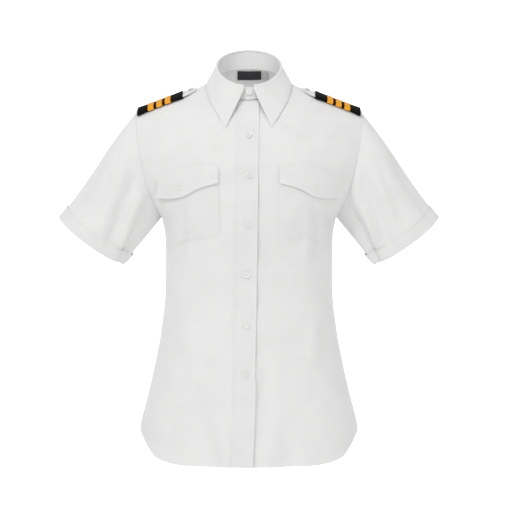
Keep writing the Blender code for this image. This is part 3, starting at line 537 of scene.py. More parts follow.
def below_armpits(face, across, up):
    """A row of the body's section, dipping between the armpits and following the hem at the bottom."""
    hem = read(HEM, "z", "across", across)
    top = ARMPIT_Z - ARMPIT_DIP * (1 - across**ARMPIT_DIP_POWER)
    z = top + (hem - top) * -up
    half_width = read(SIDES, "half_width", "z", z)
    fullness = read(SIDES, "fullness", "z", z)
    outward = bezier(0.0, fullness, 1.0, 1.0, across)
    forward = bezier(1.0, 1.0, fullness, 0.0, across)
    return stack(half_width * outward, face * centre_reach(face, z) * forward, z)


def folded(face, x, z):
    """How far a face's folds push its cloth out. Each fades at its ends, wanders and varies in depth."""
    total = 0.0 * x
    for number, fold in enumerate(rows_of(FOLDS)):
        if fold["face"] != face:
            continue
        run = np.array((fold["end.x"] - fold["x"], fold["end.z"] - fold["z"]))
        length = np.linalg.norm(run)
        along = ((x - fold["x"]) * run[0] + (z - fold["z"]) * run[1]) / length**2
        beside = ((x - fold["x"]) * run[1] - (z - fold["z"]) * run[0]) / length
        beside = beside + fold["half"] * FOLD_WANDER * np.sin(5 * along + 2.3 * number)
        half = fold["half"] * np.where(beside > 0, 1 + fold["lean"], 1 - fold["lean"])
        window = ease(FOLD_FADE * along) * ease(FOLD_FADE * (1 - along))
        window = window * (1 + FOLD_SWELL * np.sin(7 * along + number))
        total = total + fold["depth"] * window * np.exp(-((beside / half) ** 2))
    return total


def body(face, across, up):
    """Points of the body's front or back."""
    across, up = np.broadcast_arrays(np.asarray(across, float), np.asarray(up, float))
    share = np.clip(np.abs(across), 0, 1)
    low = below_armpits(face, share, np.clip(up, -1, 0))
    high = above_armpits(face, share, np.clip(up, 0, 1))
    points = np.where((up < 0)[..., None], low, high)
    points[..., 0] *= np.where(across < 0, -1.0, 1.0)
    points[..., 1] += face * folded(face, points[..., 0], points[..., 2]) * (1 - share**6)
    return points


def locate(face, axes, wanted, start=(0.0, 0.3)):
    """(across, up) of the points of a face whose coordinates along two axes are wanted."""
    spot = np.zeros(wanted.shape) + start
    spot[..., 0] = np.copysign(np.clip(np.abs(wanted[..., 0]) / SIDE_X, 0.05, 0.9), wanted[..., 0])
    for _ in range(SEARCH_ROUNDS):
        across, up = spot[..., 0], spot[..., 1]
        here = body(face, across, up)[..., axes]
        tiny = np.where(spot > 0, -TINY, TINY)
        by_across = (body(face, across + tiny[..., 0], up)[..., axes] - here) / tiny[..., :1]
        by_up = (body(face, across, up + tiny[..., 1])[..., axes] - here) / tiny[..., 1:]
        miss = wanted - here
        area = by_across[..., 0] * by_up[..., 1] - by_across[..., 1] * by_up[..., 0]
        move = np.stack(
            [
                (miss[..., 0] * by_up[..., 1] - miss[..., 1] * by_up[..., 0]) / area,
                (miss[..., 1] * by_across[..., 0] - miss[..., 0] * by_across[..., 1]) / area,
            ],
            axis=-1,
        )
        before = spot
        spot = np.clip(spot + np.clip(move, -SEARCH_STEP, SEARCH_STEP), -1, 1)
        if np.abs(spot - before).max() < SEARCH_END:
            break
    return spot


def seen_from_front(x, z, face=FRONT):
    """Points of a face at the given x and z."""
    spot = locate(face, (0, 2), stack(x, z, 0.0)[..., :2])
    return body(face, spot[..., 0], spot[..., 1])


def seen_from_above(x, y):
    """Points of the shoulders at the given x and y, on the front or the back of the shoulder seam."""
    wanted = stack(x, y, 0.0)[..., :2]
    found = []
    for face in (FRONT, BACK):
        spot = locate(face, (0, 1), wanted, (0.0, 0.85))
        found.append(body(face, spot[..., 0], spot[..., 1]))
    ridge = NECK_Y * (1 - np.clip((np.abs(wanted[..., 0]) - NECK_HALF_WIDTH) / RIDGE_RUN, 0, 1))
    return np.where((wanted[..., 1] < ridge)[..., None], found[0], found[1])


def sleeve(side, angle, along):
    """Points of a sleeve, by degrees round it from the underarm to the front, and by 0 to 1 along it."""
    angle, along = np.broadcast_arrays(np.asarray(angle, float), np.asarray(along, float))
    front = armhole(FRONT, np.clip(angle / 180, 0, 1))
    back = armhole(BACK, np.clip((360 - angle) / 180, 0, 1))
    start = np.where((angle <= 180)[..., None], front, back)
    turn = np.radians(angle)[..., None]
    bulge = np.sin(turn)
    end = SLEEVE_END - SLEEVE_END_OUTER * np.cos(turn) + SLEEVE_END_FORWARD * bulge
    leaving = unit(SLEEVE_LEAVING + np.abs(bulge) * LEAVING_SPREAD + bulge * LEAVING_FORWARD)
    arriving = unit(SLEEVE_ARRIVING + bulge * ARRIVING_FORWARD)
    chord = np.linalg.norm(end - start, axis=-1)[..., None]
    t = along[..., None]
    first, last = leaving * chord * LEAVING_SHARE, arriving * chord * ARRIVING_SHARE
    points = bezier(start, start + first, end - last, end, t)
    outward = unit(points - (SLEEVE_END * t + SLEEVE_ROOT * (1 - t)))
    push = 0.0 * along
    for fold in rows_of(SLEEVE_FOLDS):
        share = (along - fold["from"]) / (fold["to"] - fold["from"])
        crest = fold["angle"] + (fold["end.angle"] - fold["angle"]) * share
        window = ease(4 * share) * ease(4 * (1 - share)) * ease(8 * along)
        push = push + fold["depth"] * window * np.exp(-(((angle - crest) / fold["spread"]) ** 2))
    points = points + outward * push[..., None]
    points[..., 0] *= side
    return points


def grid_normals(grid, around=False):
    """Unit normals of a grid, by central differences: across the columns, then up the rows."""
    if around:
        by_column = np.roll(grid, -1, axis=1) - np.roll(grid, 1, axis=1)
    else:
        by_column = np.gradient(grid, axis=1)
    return unit(np.cross(by_column, np.gradient(grid, axis=0)))


def outward_of(grid, flip=False, around=False):
    return grid_normals(grid, around) * (-1 if flip else 1)


def grid_faces(rows, columns, around=False):
    faces = []
    for r in range(rows - 1):
        for c in range(columns if around else columns - 1):
            right = (c + 1) % columns
            low, high = r * columns, (r + 1) * columns
            faces.append((low + c, low + right, high + right, high + c))
    return faces


def turned_over(faces):
    """The same faces seen from the other side, cut along the same diagonals."""
    return [face[:1] + face[:0:-1] for face in faces]


class Patch:
    """A grid of a sewn piece, the way it faces, and the edges where it is drawn back from its seams."""

    def __init__(self, grid, flip=False, around=False, welded=False):
        self.grid, self.flip, self.around, self.welded = grid, flip, around, welded
        self.pulls = []
        self.faces = grid_faces(*grid.shape[:2], around)
        if flip:
            self.faces = turned_over(self.faces)

    def draw_back(self, rows, columns, row_step, column_step):
        """Notes an edge that is to move half a seam's gap towards the next row or column."""
        for r in rows:
            for c in columns:
                self.pulls.append((r, c, self.grid[r + row_step, c + column_step] - self.grid[r, c]))


def placket_x(z):
    return read(PLACKET_LINE, "x", "z", z)


def row_levels():
    low = -np.linspace(1, 0, HEM_ROWS + 1)[:-1]
    high = np.linspace(0, 1, YOKE_ROWS + 1)
    return np.concatenate([low, high])


def meeting_line(up):
    """The across value, in each row, of the line where the fronts meet under the placket."""
    low, high = np.full(up.shape, -0.5), np.full(up.shape, 0.2)
    for _ in range(40):
        middle = (low + high) / 2
        points = body(FRONT, middle, up)
        short = points[:, 0] < placket_x(points[:, 2]) - UNDERLAP
        low, high = np.where(short, middle, low), np.where(short, high, middle)
    return np.where(up > COLLAR_LEVEL + 1e-9, 0.0, (low + high) / 2)


def front_patch(side):
    levels = row_levels()
    edge = meeting_line(levels)[:, None]
    span = np.linspace(0, 1, PANEL_COLUMNS)[None, :]
    across = -1 + (1 + edge) * span if side < 0 else edge + (1 - edge) * span
    across = np.where(across == 0, 1e-9 * side, across)
    patch = Patch(body(FRONT, across, levels[:, None]))
    outer, inward = (0, 1) if side < 0 else (-1, -1)
    inner = -1 if side < 0 else 0
    patch.draw_back(ALL_ROWS, [outer], 0, inward)
    patch.draw_back(ALL_ROWS, [inner], 0, -inward)
    patch.draw_back([ARMPIT_ROW], [outer], -1, 0)
    patch.draw_back([COLLAR_ROW], [inner], -1, 0)
    patch.draw_back([ALL_ROWS[-1]], range(PANEL_COLUMNS), -1, 0)
    return patch


def back_patch(side):
    levels = row_levels()
    across = np.linspace(0, side, PANEL_COLUMNS)
    across[0] = 1e-9 * side
    grid = body(BACK, across[None, :], levels[:, None])
    grid[np.abs(grid) < 1e-7] = 0.0
    patch = Patch(grid, flip=side > 0, welded=True)
    patch.draw_back(ALL_ROWS, [-1], 0, -1)
    patch.draw_back(ALL_ROWS[COLLAR_ROW + 1 :], [0], 0, 1)
    patch.draw_back([COLLAR_ROW], [0], -1, 0)
    patch.draw_back([ARMPIT_ROW], [-1], -1, 0)
    patch.draw_back([ALL_ROWS[-1]], range(PANEL_COLUMNS), -1, 0)
    return patch


def sleeve_angles():
    return np.arange(2 * YOKE_ROWS) * 180 / YOKE_ROWS


def cuff_levels(side):
    """Rows of the cuff, evenly from its upper edge to the sleeve's end, by the value of along."""
    angles = sleeve_angles()
    lengths = np.linalg.norm(sleeve(side, angles, 1.0) - sleeve(side, angles, 0.0), axis=-1)
    return 1 - (CUFF_WIDTH / lengths)[None, :] * np.linspace(1, 0, CUFF_ROWS)[:, None]


def sleeve_patch(side):
    """The sleeve's rows down to the cuff's edge and then under the cuff, ending just inside it."""
    cuff = cuff_levels(side)
    upper = np.linspace(0, 1, SLEEVE_ROWS)[:-1, None] * cuff[:1]
    lower = cuff.copy()
    lower[-1] -= 0.15 * (cuff[-1] - cuff[-2])
    grid = sleeve(side, sleeve_angles()[None, :], np.concatenate([upper, lower]))
    patch = Patch(grid, flip=side > 0, around=True)
    patch.draw_back([0], range(grid.shape[1]), 1, 0)
    return patch


def roll(angle):
    """The top edge of the collar stand, where the leaf turns over."""
    return round_neck(angle, ROLL_HALF_WIDTH, ROLL_HALF_DEPTH, 0.0, ROLL_FRONT_Z, ROLL_BACK_Z)


def overlap_push(from_front):
    """How far the upper layer stands out over the stand's lower end, by degrees from the centre front."""
    return (DOUBLED + 0.5 * MM) * ease((3 * STAND_OVERLAP - from_front) / (2 * STAND_OVERLAP))


def outward_round_neck(angle):
    turn = np.radians(angle)
    return stack(np.sin(turn), -np.cos(turn), 0.0)


def stand_patch():
    """The stand runs from under the wearer's right, round by the left and the nape, and over itself."""
    angles = np.arange(-STAND_OVERLAP, 360 + STAND_OVERLAP + 1, STAND_STEP)
    push = np.where(angles > 180, overlap_push(360 - angles), 0.0)
    outward = outward_round_neck(angles)
    low = neckline(angles) + outward * push[:, None]
    high = roll(angles) + outward * push[:, None]
    share = np.linspace(0, 1, 10)[:, None, None]
    grid = low * (1 - share) + high * share
    patch = Patch(grid)
    patch.draw_back([0], range(len(angles)), 1, 0)
    return patch


def leaf_edge(angle):
    """The outer edge of the leaf: on the fronts near its points, and over the shoulders to the nape."""
    on_fronts = seen_from_front(LEAF_FRONT["x"], LEAF_FRONT["z"]) - (0, LEAF_GAP, 0)
    on_shoulders = seen_from_above(LEAF_SIDE["x"], LEAF_SIDE["y"]) + (0, 0, LEAF_GAP)
    hanging = stack(LEAF_BACK["x"], LEAF_BACK["y"], LEAF_BACK["z"])
    knots = np.concatenate([LEAF_FRONT["angle"], LEAF_SIDE["angle"], LEAF_BACK["angle"]])
    points = np.concatenate([on_fronts, on_shoulders, hanging])
    return np.stack([smooth(knots, points[:, axis], angle) for axis in range(3)], axis=-1)


def leaf_half(columns):
    """The leaf's visible side from its point round to the nape, its rows running from the roll down."""
    spread = np.linspace(0, 1, columns) ** 1.15
    angles = LEAF_POINT_ANGLE + (180 - LEAF_POINT_ANGLE) * spread
    outward = outward_round_neck(angles)
    start = roll(angles) + outward * overlap_push(angles)[:, None]
    rows = []
    bends = np.arange(len(LEAF_ROLL["x"]))
    for at in np.linspace(0, bends[-1], LEAF_ROLL_ROWS):
        out, up = smooth(bends, LEAF_ROLL["x"], at), smooth(bends, LEAF_ROLL["z"], at)
        rows.append(start + outward * out + np.array((0, 0, up)))
    last, edge = rows[-1], leaf_edge(angles)
    lead = LEAF_LEAD + LEAF_LEAD_BEHIND * ease((angles - LEAF_POINT_ANGLE) / 45)[:, None]
    falling = unit(last - rows[-2]) * np.linalg.norm(edge - last, axis=-1)[:, None] * lead
    arriving = (edge - last) * 0.3 - outward * LEAF_BELLY
    for share in np.linspace(0, 1, LEAF_FALL_ROWS + 1)[1:]:
        rows.append(bezier(last, last + falling, edge - arriving, edge, share))
    return np.array(rows)


def leaf_grid(columns):
    half = leaf_half(columns)
    mirrored = half[:, ::-1] * (-1, 1, 1)
    return np.concatenate([half, mirrored[:, 1:]], axis=1)


def placket_grid(columns):
    """The band's rows lie over the rows of the fronts."""
    levels = row_levels()[: COLLAR_ROW + 1]
    z = body(FRONT, 0.0 * levels, levels)[:, 2:]
    z[-1] = PLACKET_TOP_Z
    offset = np.linspace(-1, 1, columns)[None, :] * PLACKET_HALF_WIDTH
    return seen_from_front(placket_x(z) + offset, z + 0 * offset)


def edge_between(low, high, share, columns):
    """Rows from one (x, z) line to another, their points spread evenly round the side of the chest."""
    points = []
    for line in (low, high):
        turns = np.linspace(*np.arcsin(line["x"][[0, -1]] / POCKET_SECTION), columns)
        x = POCKET_SECTION * np.sin(turns)
        points.append(stack(x, read(line, "z", "x", x), 0.0)[..., :2])
    share = share[:, None, None]
    return points[0] * (1 - share) + points[1] * share


def lying_grid(side, low, high, rows, columns):
    """A patch of a front between two lines, its columns running towards +X."""
    spots = edge_between(low, high, np.linspace(0, 1, rows), columns)
    if side < 0:
        spots = spots[:, ::-1] * (-1, 1)
    return seen_from_front(spots[..., 0], spots[..., 1])


def on_front(x, z):
    """The point of a front at x and z, and its normal."""
    step = 4 * MM
    aside = np.array([0, -step, step, 0, 0])
    above = np.array([0, 0, 0, -step, step])
    around = seen_from_front(x + aside, z + above)
    return around[0], unit(np.cross(around[2] - around[1], around[4] - around[3]))


def strap_points(side, x, offset):
    """The middle layer of a strap, by the distance out from the neck and the offset towards the back."""
    raw = seen_from_above(side * x, STRAP_MIDDLE_Y + offset)
    normals = outward_of(raw, side < 0)
    height = read(STRAP_LIFT, "width", "x", x)[..., None]
    return raw + normals * height, normals


def strap_layout(rows, columns):
    """Distances out and offsets of a strap's grid, which ends in a point at the neck."""
    offsets = np.linspace(-1, 1, columns) * STRAP_HALF_WIDTH
    x, offset = np.meshgrid(np.linspace(*STRAP_ENDS, rows), offsets)
    cut = np.clip(1 - (x - STRAP_ENDS[0]) / STRAP_POINT, 0, 1)
    return x, offset * (1 - STRAP_POINT_CUT * cut**1.5)


def slide_ring(columns):
    """(offset, height) shares round the slide's flat section, starting over its front edge."""
    flat = np.linspace(-SLIDE_FLAT, SLIDE_FLAT, columns)
    top, bottom = [(share, 1.0) for share in flat], [(share, -1.0) for share in flat[::-1]]
    back, front = [(1.0, SLIDE_BEND), (1.0, -SLIDE_BEND)], [(-1.0, -SLIDE_BEND), (-1.0, SLIDE_BEND)]
    return np.array(top + back + bottom + front)


def wall_data(grid, normals, low, high, around, flip, welded=False):
    """Points, faces and (u, v) in metres of a thin closed wall on a grid."""
    rows, columns = grid.shape[:2]
    count = rows * columns
    wide = columns if around else columns - 1
    faces, places = [], []
    for cell, face in enumerate(grid_faces(rows, columns, around)):
        r, c = divmod(cell, wide)
        place = ((c, r), (c + 1, r), (c + 1, r + 1), (c, r + 1))
        if flip:
            face, place = face[::-1], place[::-1]
        faces += [face, tuple(corner + count for corner in face[::-1])]
        places += [place, place[::-1]]
    for face, place in rim_faces(rows, columns, around, flip, count, welded):
        faces.append(face)
        places.append(place)
    points = np.concatenate([grid + normals * high, grid + normals * low]).reshape(-1, 3)
    uv = np.array([corner for place in places for corner in place], float)
    uv *= (steps(grid, 1).mean(), steps(grid, 0).mean())
    return points, faces, uv


def rim_faces(rows, columns, around, flip, count, welded):
    """The narrow faces that close a wall along its open edges, but not down the back's own middle."""
    wide = columns if around else columns - 1
    border = []
    for c in range(wide):
        border.append(((0, c), (0, c + 1)))
        border.append(((rows - 1, c + 1), (rows - 1, c)))
    if not around:
        for r in range(rows - 1):
            border.append(((r, columns - 1), (r + 1, columns - 1)))
            if not welded or r >= COLLAR_ROW:
                border.append(((r + 1, 0), (r, 0)))
    found = []
    for (r0, c0), (r1, c1) in border:
        a, b = r0 * columns + c0 % columns, r1 * columns + c1 % columns
        face = (b, a, a + count, b + count)
        place = ((c1, r1), (c0, r0), (c0, r0), (c1, r1))
        found.append((face[::-1], place[::-1]) if flip else (face, place))
    return found


def linked(name, data):
    """A new object in the scene."""
    added = bpy.data.objects.new(name, data)
    bpy.context.scene.collection.objects.link(added)
    return added


def add_mesh(name, points, faces, finish, uv=None, sharp=40):
    mesh = bpy.data.meshes.new(name)
    mesh.from_pydata(np.asarray(points).tolist(), [], faces)
    mesh.materials.append(finish)
    mesh.shade_smooth()
    mesh.set_sharp_from_angle(angle=math.radians(sharp))
    if uv is not None:
        layer = mesh.uv_layers.new(name="weave")
        layer.data.foreach_set("uv", np.asarray(uv, np.float32).ravel())
    return linked(name, mesh)


def ride(piece, slot, *nodes):
    """Puts a piece on the shirt, in place of the nodes that it stands for."""
    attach(piece, "root")
    if nodes:
        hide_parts(*nodes)
    return piece


def area_of(grid):
    """The area of a grid's cells."""
    across, along = grid[1:, 1:] - grid[:-1, :-1], grid[1:, :-1] - grid[:-1, 1:]
    return np.linalg.norm(np.cross(across, along), axis=-1).sum() / 2


def declare(piece, grids, around, held, rests_on):
    """Works out the width and area of a piece's sheet, cut as wide and as long as its longest lines across
    and along, and keeps neither.
    """
    if around:
        grids = [np.concatenate([grid, grid[:, :1]], axis=1) for grid in grids]
    across = [steps(grid, 1).sum(axis=1) for grid in grids]
    along = [steps(grid, 0).sum(axis=0).max() for grid in grids]
    width = max(float(sum(across).max()), 0.01)
    area = min(float(sum(area_of(grid) for grid in grids)), width * float(max(along)))
    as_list(rests_on)


def held_as(node):
    """How a node's sheet is held, and what it rests on: on its own side of the shirt, where it has one."""
    side = next((word for word in ("right", "left") if word in node.split("_")), "")
    held, rests_on = next(HELD[key] for key in HELD if node.startswith(key))
    other = {"right": "left", "left": "right"}.get(side, "none")
    return held, [name for name in rests_on if not name.endswith(other)]


def add_cloth(node, grid, normals, low, high, around=False, flip=False, finish=None, slot="shirt_cloth"):
    """A thin shell in place of a node of cloth."""
    points, faces, uv = wall_data(grid, normals, low, high, around, flip)
    piece = add_mesh(node + "_cloth", points, faces, finish or cloth_material(), uv)
    declare(piece, [grid], around, *held_as(node))
    return ride(piece, slot, node)


def add_laid(node, raw, lift, thick=THIN, flip=False, around=False, **look):
    """A shell lifted off the surface that its grid lies on. Returns its upper side and its normals."""
    normals = outward_of(raw, flip, around)
    grid = raw + normals * lift[..., None]
    add_cloth(node, grid, normals, 0.0, thick, around, flip, **look)
    return grid + normals * thick, normals


def patch_normals(patches):
    """Normals of each patch's grid, shared wherever patches meet."""
    sums = {}
    for patch in patches:
        points = patch.grid.reshape(-1, 3)
        corners = np.array(patch.faces)
        a, b, c, d = (points[corners[:, corner]] for corner in range(4))
        crossed = np.cross(c - a, d - b)
        total = np.zeros(points.shape)
        for column in range(4):
            np.add.at(total, corners[:, column], crossed)
        patch.keys = [tuple(row) for row in np.round(points / WELD).astype(int).tolist()]
        for key, normal in zip(patch.keys, total):
            sums[key] = sums.get(key, 0.0) + normal
    sums = {key: unit(total) for key, total in sums.items()}
    for patch in patches:
        patch.normals = np.array([sums[key] for key in patch.keys]).reshape(patch.grid.shape)


def drawn_grid(patch):
    """The patch's grid with its seam edges drawn back, square to the rims."""
    moved = patch.grid.copy()
    for r, c, inward in patch.pulls:
        normal = patch.normals[r, c]
        moved[r, c] += unit(inward - normal * (inward @ normal)) * SEAM / 2
    return moved


def add_back(patches):
    """The back's two halves as one shell, welded down the centre."""
    points, faces, uvs, offset = [], [], [], 0
    for patch in patches:
        half = wall_data(drawn_grid(patch), patch.normals, -THIN, 0.0, False, patch.flip, True)
        points.append(half[0])
        faces += [tuple(corner + offset for corner in face) for face in half[1]]
        uvs.append(half[2] * (-1 if patch.flip else 1, 1))
        offset += len(half[0])
    piece = add_mesh("back_cloth", np.concatenate(points), faces, cloth_material(), np.concatenate(uvs))
    work = bmesh.new()
    work.from_mesh(piece.data)
    bmesh.ops.remove_doubles(work, verts=work.verts, dist=2 * WELD)
    work.to_mesh(piece.data)
    work.free()
    declare(piece, [drawn_grid(patch) for patch in patches], False, *held_as("back"))
    return ride(piece, "shirt_cloth", "back")


def node_link(tree, source, output, target, socket):
    tree.links.new(source.outputs[output], target.inputs[socket])


def new_material(name, colour, roughness, **sockets):
    """A material and its shader, with values set on the shader's own sockets."""
    made = bpy.data.materials.new(name)
    made.use_nodes = True
    shader = made.node_tree.nodes["Principled BSDF"]
    shader.inputs["Base Color"].default_value = colour
    shader.inputs["Roughness"].default_value = roughness
    for socket, value in sockets.items():
        shader.inputs[socket.replace("_", " ")].default_value = value
    return made, made.node_tree, shader


def scaled(tree, coordinate, scale=(1, 1, 1)):
    source = tree.nodes.new("ShaderNodeTexCoord")
    mapping = tree.nodes.new("ShaderNodeMapping")
    mapping.inputs["Scale"].default_value = scale
    node_link(tree, source, coordinate, mapping, "Vector")
    return mapping


def threads(tree, mapping, direction, scale):
    """Ribs of thread along one direction of the weave."""
    wave = tree.nodes.new("ShaderNodeTexWave")
    wave.bands_direction = direction
    wave.inputs["Scale"].default_value = scale
    wave.inputs["Distortion"].default_value = 0.6
    wave.inputs["Detail"].default_value = 1.0
    node_link(tree, mapping, "Vector", wave, "Vector")
    return wave


def noise(tree, mapping, scale, detail=3.0):
    found = tree.nodes.new("ShaderNodeTexNoise")
    found.inputs["Scale"].default_value = scale
    found.inputs["Detail"].default_value = detail
    node_link(tree, mapping, "Vector", found, "Vector")
    return found


def bumps(tree, shader, layers):
    """Bump nodes one after another: (height source, its output, strength, distance)."""
    before = None
    for source, output, strength, distance in layers:
        bump = tree.nodes.new("ShaderNodeBump")
        bump.inputs["Strength"].default_value = strength
        bump.inputs["Distance"].default_value = distance
        node_link(tree, source, output, bump, "Height")
        if before:
            node_link(tree, before, "Normal", bump, "Normal")
        before = bump
    node_link(tree, before, "Normal", shader, "Normal")


def tinted(tree, shader, source, output, dark, light, low=0.35, high=0.65):
    """Base colour between two tints, by a texture."""
    ramp = tree.nodes.new("ShaderNodeValToRGB")
    ramp.color_ramp.elements[0].position = low
    ramp.color_ramp.elements[0].color = dark
    ramp.color_ramp.elements[1].position = high
    ramp.color_ramp.elements[1].color = light
    node_link(tree, source, output, ramp, "Fac")
    node_link(tree, ramp, "Color", shader, "Base Color")


def woven(name, dark, light, roughness, thread=0.55 * MM, depth=0.05 * MM, **sockets):
    """Plain-woven cloth: crossing threads, slubs and a faint unevenness of colour."""
    made, tree, shader = new_material(name, light, roughness, **sockets)
    weave = scaled(tree, "UV")
    spread = scaled(tree, "Object")
    scale = 2 * math.pi / (20 * thread)
    warp, weft = threads(tree, weave, "X", scale), threads(tree, weave, "Y", scale)
    slubs, patches = noise(tree, weave, 900, 2.0), noise(tree, spread, 26, 5.0)
    layers = [
        (warp, "Fac", 0.35, depth),
        (weft, "Fac", 0.35, depth),
        (slubs, "Fac", 0.25, depth),
        (noise(tree, spread, 60, 4.0), "Fac", 0.3, 0.5 * MM),
    ]
    bumps(tree, shader, layers)
    tinted(tree, shader, patches, "Fac", dark, light)
    return made


MATERIALS = {}


def kept(name, maker, *args, **sockets):
    if name not in MATERIALS:
        MATERIALS[name] = maker(name, *args, **sockets)
    return MATERIALS[name]


def cloth_material():
    light, dark = (0.815, 0.815, 0.81, 1), (0.79, 0.79, 0.785, 1)
    glow = {"Subsurface_Weight": 0.4, "Subsurface_Radius": (1, 1, 1), "Subsurface_Scale": 1.0 * MM}
    return kept("poplin_white", woven, dark, light, 0.85, Sheen_Weight=0.2, Sheen_Roughness=0.4, **glow)


def slide_material():
    dark, light = (0.002, 0.002, 0.003, 1), (0.006, 0.006, 0.007, 1)
    return kept("twill_black", woven, dark, light, 0.9, 0.9 * MM, 0.12 * MM, Specular_IOR_Level=0.15)


def label_material():
    return kept("label_satin", woven, (0.007, 0.008, 0.010, 1), (0.014, 0.015, 0.018, 1), 0.6, 0.4 * MM)


def shaded_tab_material():
    # Painted shade: the size tab, white in itself, is tinted grey all over in place of the shade along its
    # edges.
    return kept("tab_satin", woven, (0.50, 0.50, 0.51, 1), (0.56, 0.56, 0.57, 1), 0.5, 0.4 * MM)


def thread_material():
    return kept("thread_white", woven, (0.78, 0.78, 0.775, 1), (0.84, 0.84, 0.83, 1), 0.6, 0.3 * MM)


def gold_maker(name):
    """Embroidered bar: satin threads side by side."""
    made, tree, shader = new_material(name, (0.93, 0.40, 0.01, 1), 0.6, Specular_IOR_Level=0.25)
    weave = scaled(tree, "UV")
    ribs = threads(tree, weave, "Y", 2 * math.pi / (20 * 0.8 * MM))
    strands = noise(tree, scaled(tree, "UV", (60, 900, 1)), 1.0, 2.0)
    bumps(tree, shader, [(ribs, "Fac", 0.6, 0.25 * MM), (strands, "Fac", 0.4, 0.15 * MM)])
    tinted(tree, shader, strands, "Fac", (0.84, 0.33, 0.006, 1), (1.0, 0.45, 0.012, 1), 0.3, 0.7)
    return made


def resin_maker(name):
    """Pearly moulded button resin."""
    coat = {"Coat_Weight": 0.4, "Coat_Roughness": 0.12, "IOR": 1.5}
    depth = {"Subsurface_Weight": 0.15, "Subsurface_Scale": 2 * MM}
    made, tree, shader = new_material(name, (0.84, 0.84, 0.82, 1), 0.28, **coat, **depth)
    swirl = noise(tree, scaled(tree, "Object"), 240, 4.0)
    tinted(tree, shader, swirl, "Fac", (0.76, 0.76, 0.75, 1), (0.88, 0.88, 0.86, 1))
    bumps(tree, shader, [(swirl, "Fac", 0.15, 0.08 * MM)])
    return made


def paper_maker(name, glow=0.0):
    """Plain pale studio paper, lit from behind where it glows."""
    sockets = {"Emission_Color": (1, 1, 1, 1), "Emission_Strength": glow}
    made, tree, shader = new_material(name, (0.9, 0.9, 0.9, 1), 0.9, **sockets)
    grain = noise(tree, scaled(tree, "Object"), 120, 2.0)
    bumps(tree, shader, [(grain, "Fac", 0.05, 0.2 * MM)])
    return made


def sampled(grid, row, column):
    """Points of a grid at fractional rows and columns."""
    rows, columns = grid.shape[:2]
    row, column = np.clip(row, 0, rows - 1), np.clip(column, 0, columns - 1)
    r, c = np.minimum(row.astype(int), rows - 2), np.minimum(column.astype(int), columns - 2)
    u, v = (row - r)[..., None], (column - c)[..., None]
    low = grid[r, c] * (1 - v) + grid[r, c + 1] * v
    high = grid[r + 1, c] * (1 - v) + grid[r + 1, c + 1] * v
    return low * (1 - u) + high * u


def stitch_run(points, normals):
    """Centres, directions and normals of the stitches along a line of points."""
    length = np.concatenate([[0], np.cumsum(steps(points))])
    at = np.arange(STITCH, length[-1] - STITCH / 2, STITCH + STITCH_GAP)
    start, middle, end = (between(at + shift, length, points) for shift in (-STITCH / 2, 0.0, STITCH / 2))
    return middle, unit(end - start), unit(between(at, length, normals))


def line_on(grid, normals, path, count=160):
    """A line over a grid through fractional (row, column) corners."""
    corners = np.array(path, float)
    at = np.concatenate([[0], np.cumsum(steps(corners))])
    where = np.linspace(0, at[-1], count)
    row, column = np.interp(where, at, corners[:, 0]), np.interp(where, at, corners[:, 1])
    return sampled(grid, row, column), sampled(normals, row, column)


def three_sides(start, turn, inset, columns):
    """A path down one side of a grid, along a row and back up the other side, as (row, column) corners."""
    far = columns - 1 - inset
    return [(start, inset), (turn, inset), (turn, far), (start, far)]


def pegs(name, starts, ends, normals, wide, tall):
    """Short rounded threads, each from a start to an end, as one piece."""
    stations = ((0.0, 0.35, 0.1), (0.2, 1.0, 0.9), (0.8, 1.0, 0.9), (1.0, 0.35, 0.1))
    along, lean = unit(ends - starts), unit(normals)
    side = np.cross(along, lean)
    rings = []
    for share, broad, high in stations:
        base = starts + (ends - starts) * share
        for aside, up in ((1, 0), (0, 1), (-1, 0), (0, -0.8)):
            rings.append(base + side * aside * broad * wide + lean * up * high * tall)
    rings = np.stack(rings, axis=1)
    one = grid_faces(4, 4, True) + [(3, 2, 1, 0), (12, 13, 14, 15)]
    faces = [tuple(corner + 16 * k for corner in face) for k in range(len(starts)) for face in one]
    return ride(add_mesh(name, rings.reshape(-1, 3), faces, thread_material(), None, 60), "shirt_cloth")


def add_stitches(name, runs):
    """Stitches along lines of points, as one piece."""
    found = [stitch_run(*run) for run in runs]
    middle, along, lean = (np.concatenate(parts) for parts in zip(*found))
    half = along * STITCH / 2
    return pegs(name, middle - half, middle + half, lean, *STITCH_THREAD)



def add_panels():
    """The body, the sleeves and the stand, meeting at their seams."""
    patches = {
        "front_right": front_patch(-1),
        "front_left": front_patch(1),
        "sleeve_right": sleeve_patch(-1),
        "sleeve_left": sleeve_patch(1),
        "collar_stand": stand_patch(),
        "back_right": back_patch(-1),
        "back_left": back_patch(1),
    }
    patch_normals(list(patches.values()))
    for node in list(patches)[:5]:
        patch = patches[node]
        grid = drawn_grid(patch)
        add_cloth(node, grid, patch.normals, -THIN, 0.0, patch.around, patch.flip)
    add_back([patches["back_right"], patches["back_left"]])
    add_hem_stitches()
    stand = patches["collar_stand"]
    grid, normals = stand.grid + stand.normals * 0.1 * MM, stand.normals
    last = grid.shape[1] - 1
    add_stitches("stand_stitches", [line_on(grid, normals, [(0.7, last * 0.9), (0.7, last)], 60)])


def add_hem_stitches():
    runs = []
    for face, low, high in HEM_STITCHES:
        across = np.linspace(low, high, 240)
        top = ARMPIT_Z - ARMPIT_DIP * (1 - np.abs(across) ** ARMPIT_DIP_POWER)
        up = HEM_TURN / (top - read(HEM, "z", "across", np.abs(across))) - 1
        line = body(face, across, up)
        beside = body(face, across, up + 0.01)
        normals = unit(np.cross(np.gradient(line, axis=0), beside - line)) * -face
        runs.append((line, normals))
    add_stitches("hem_stitches", runs)


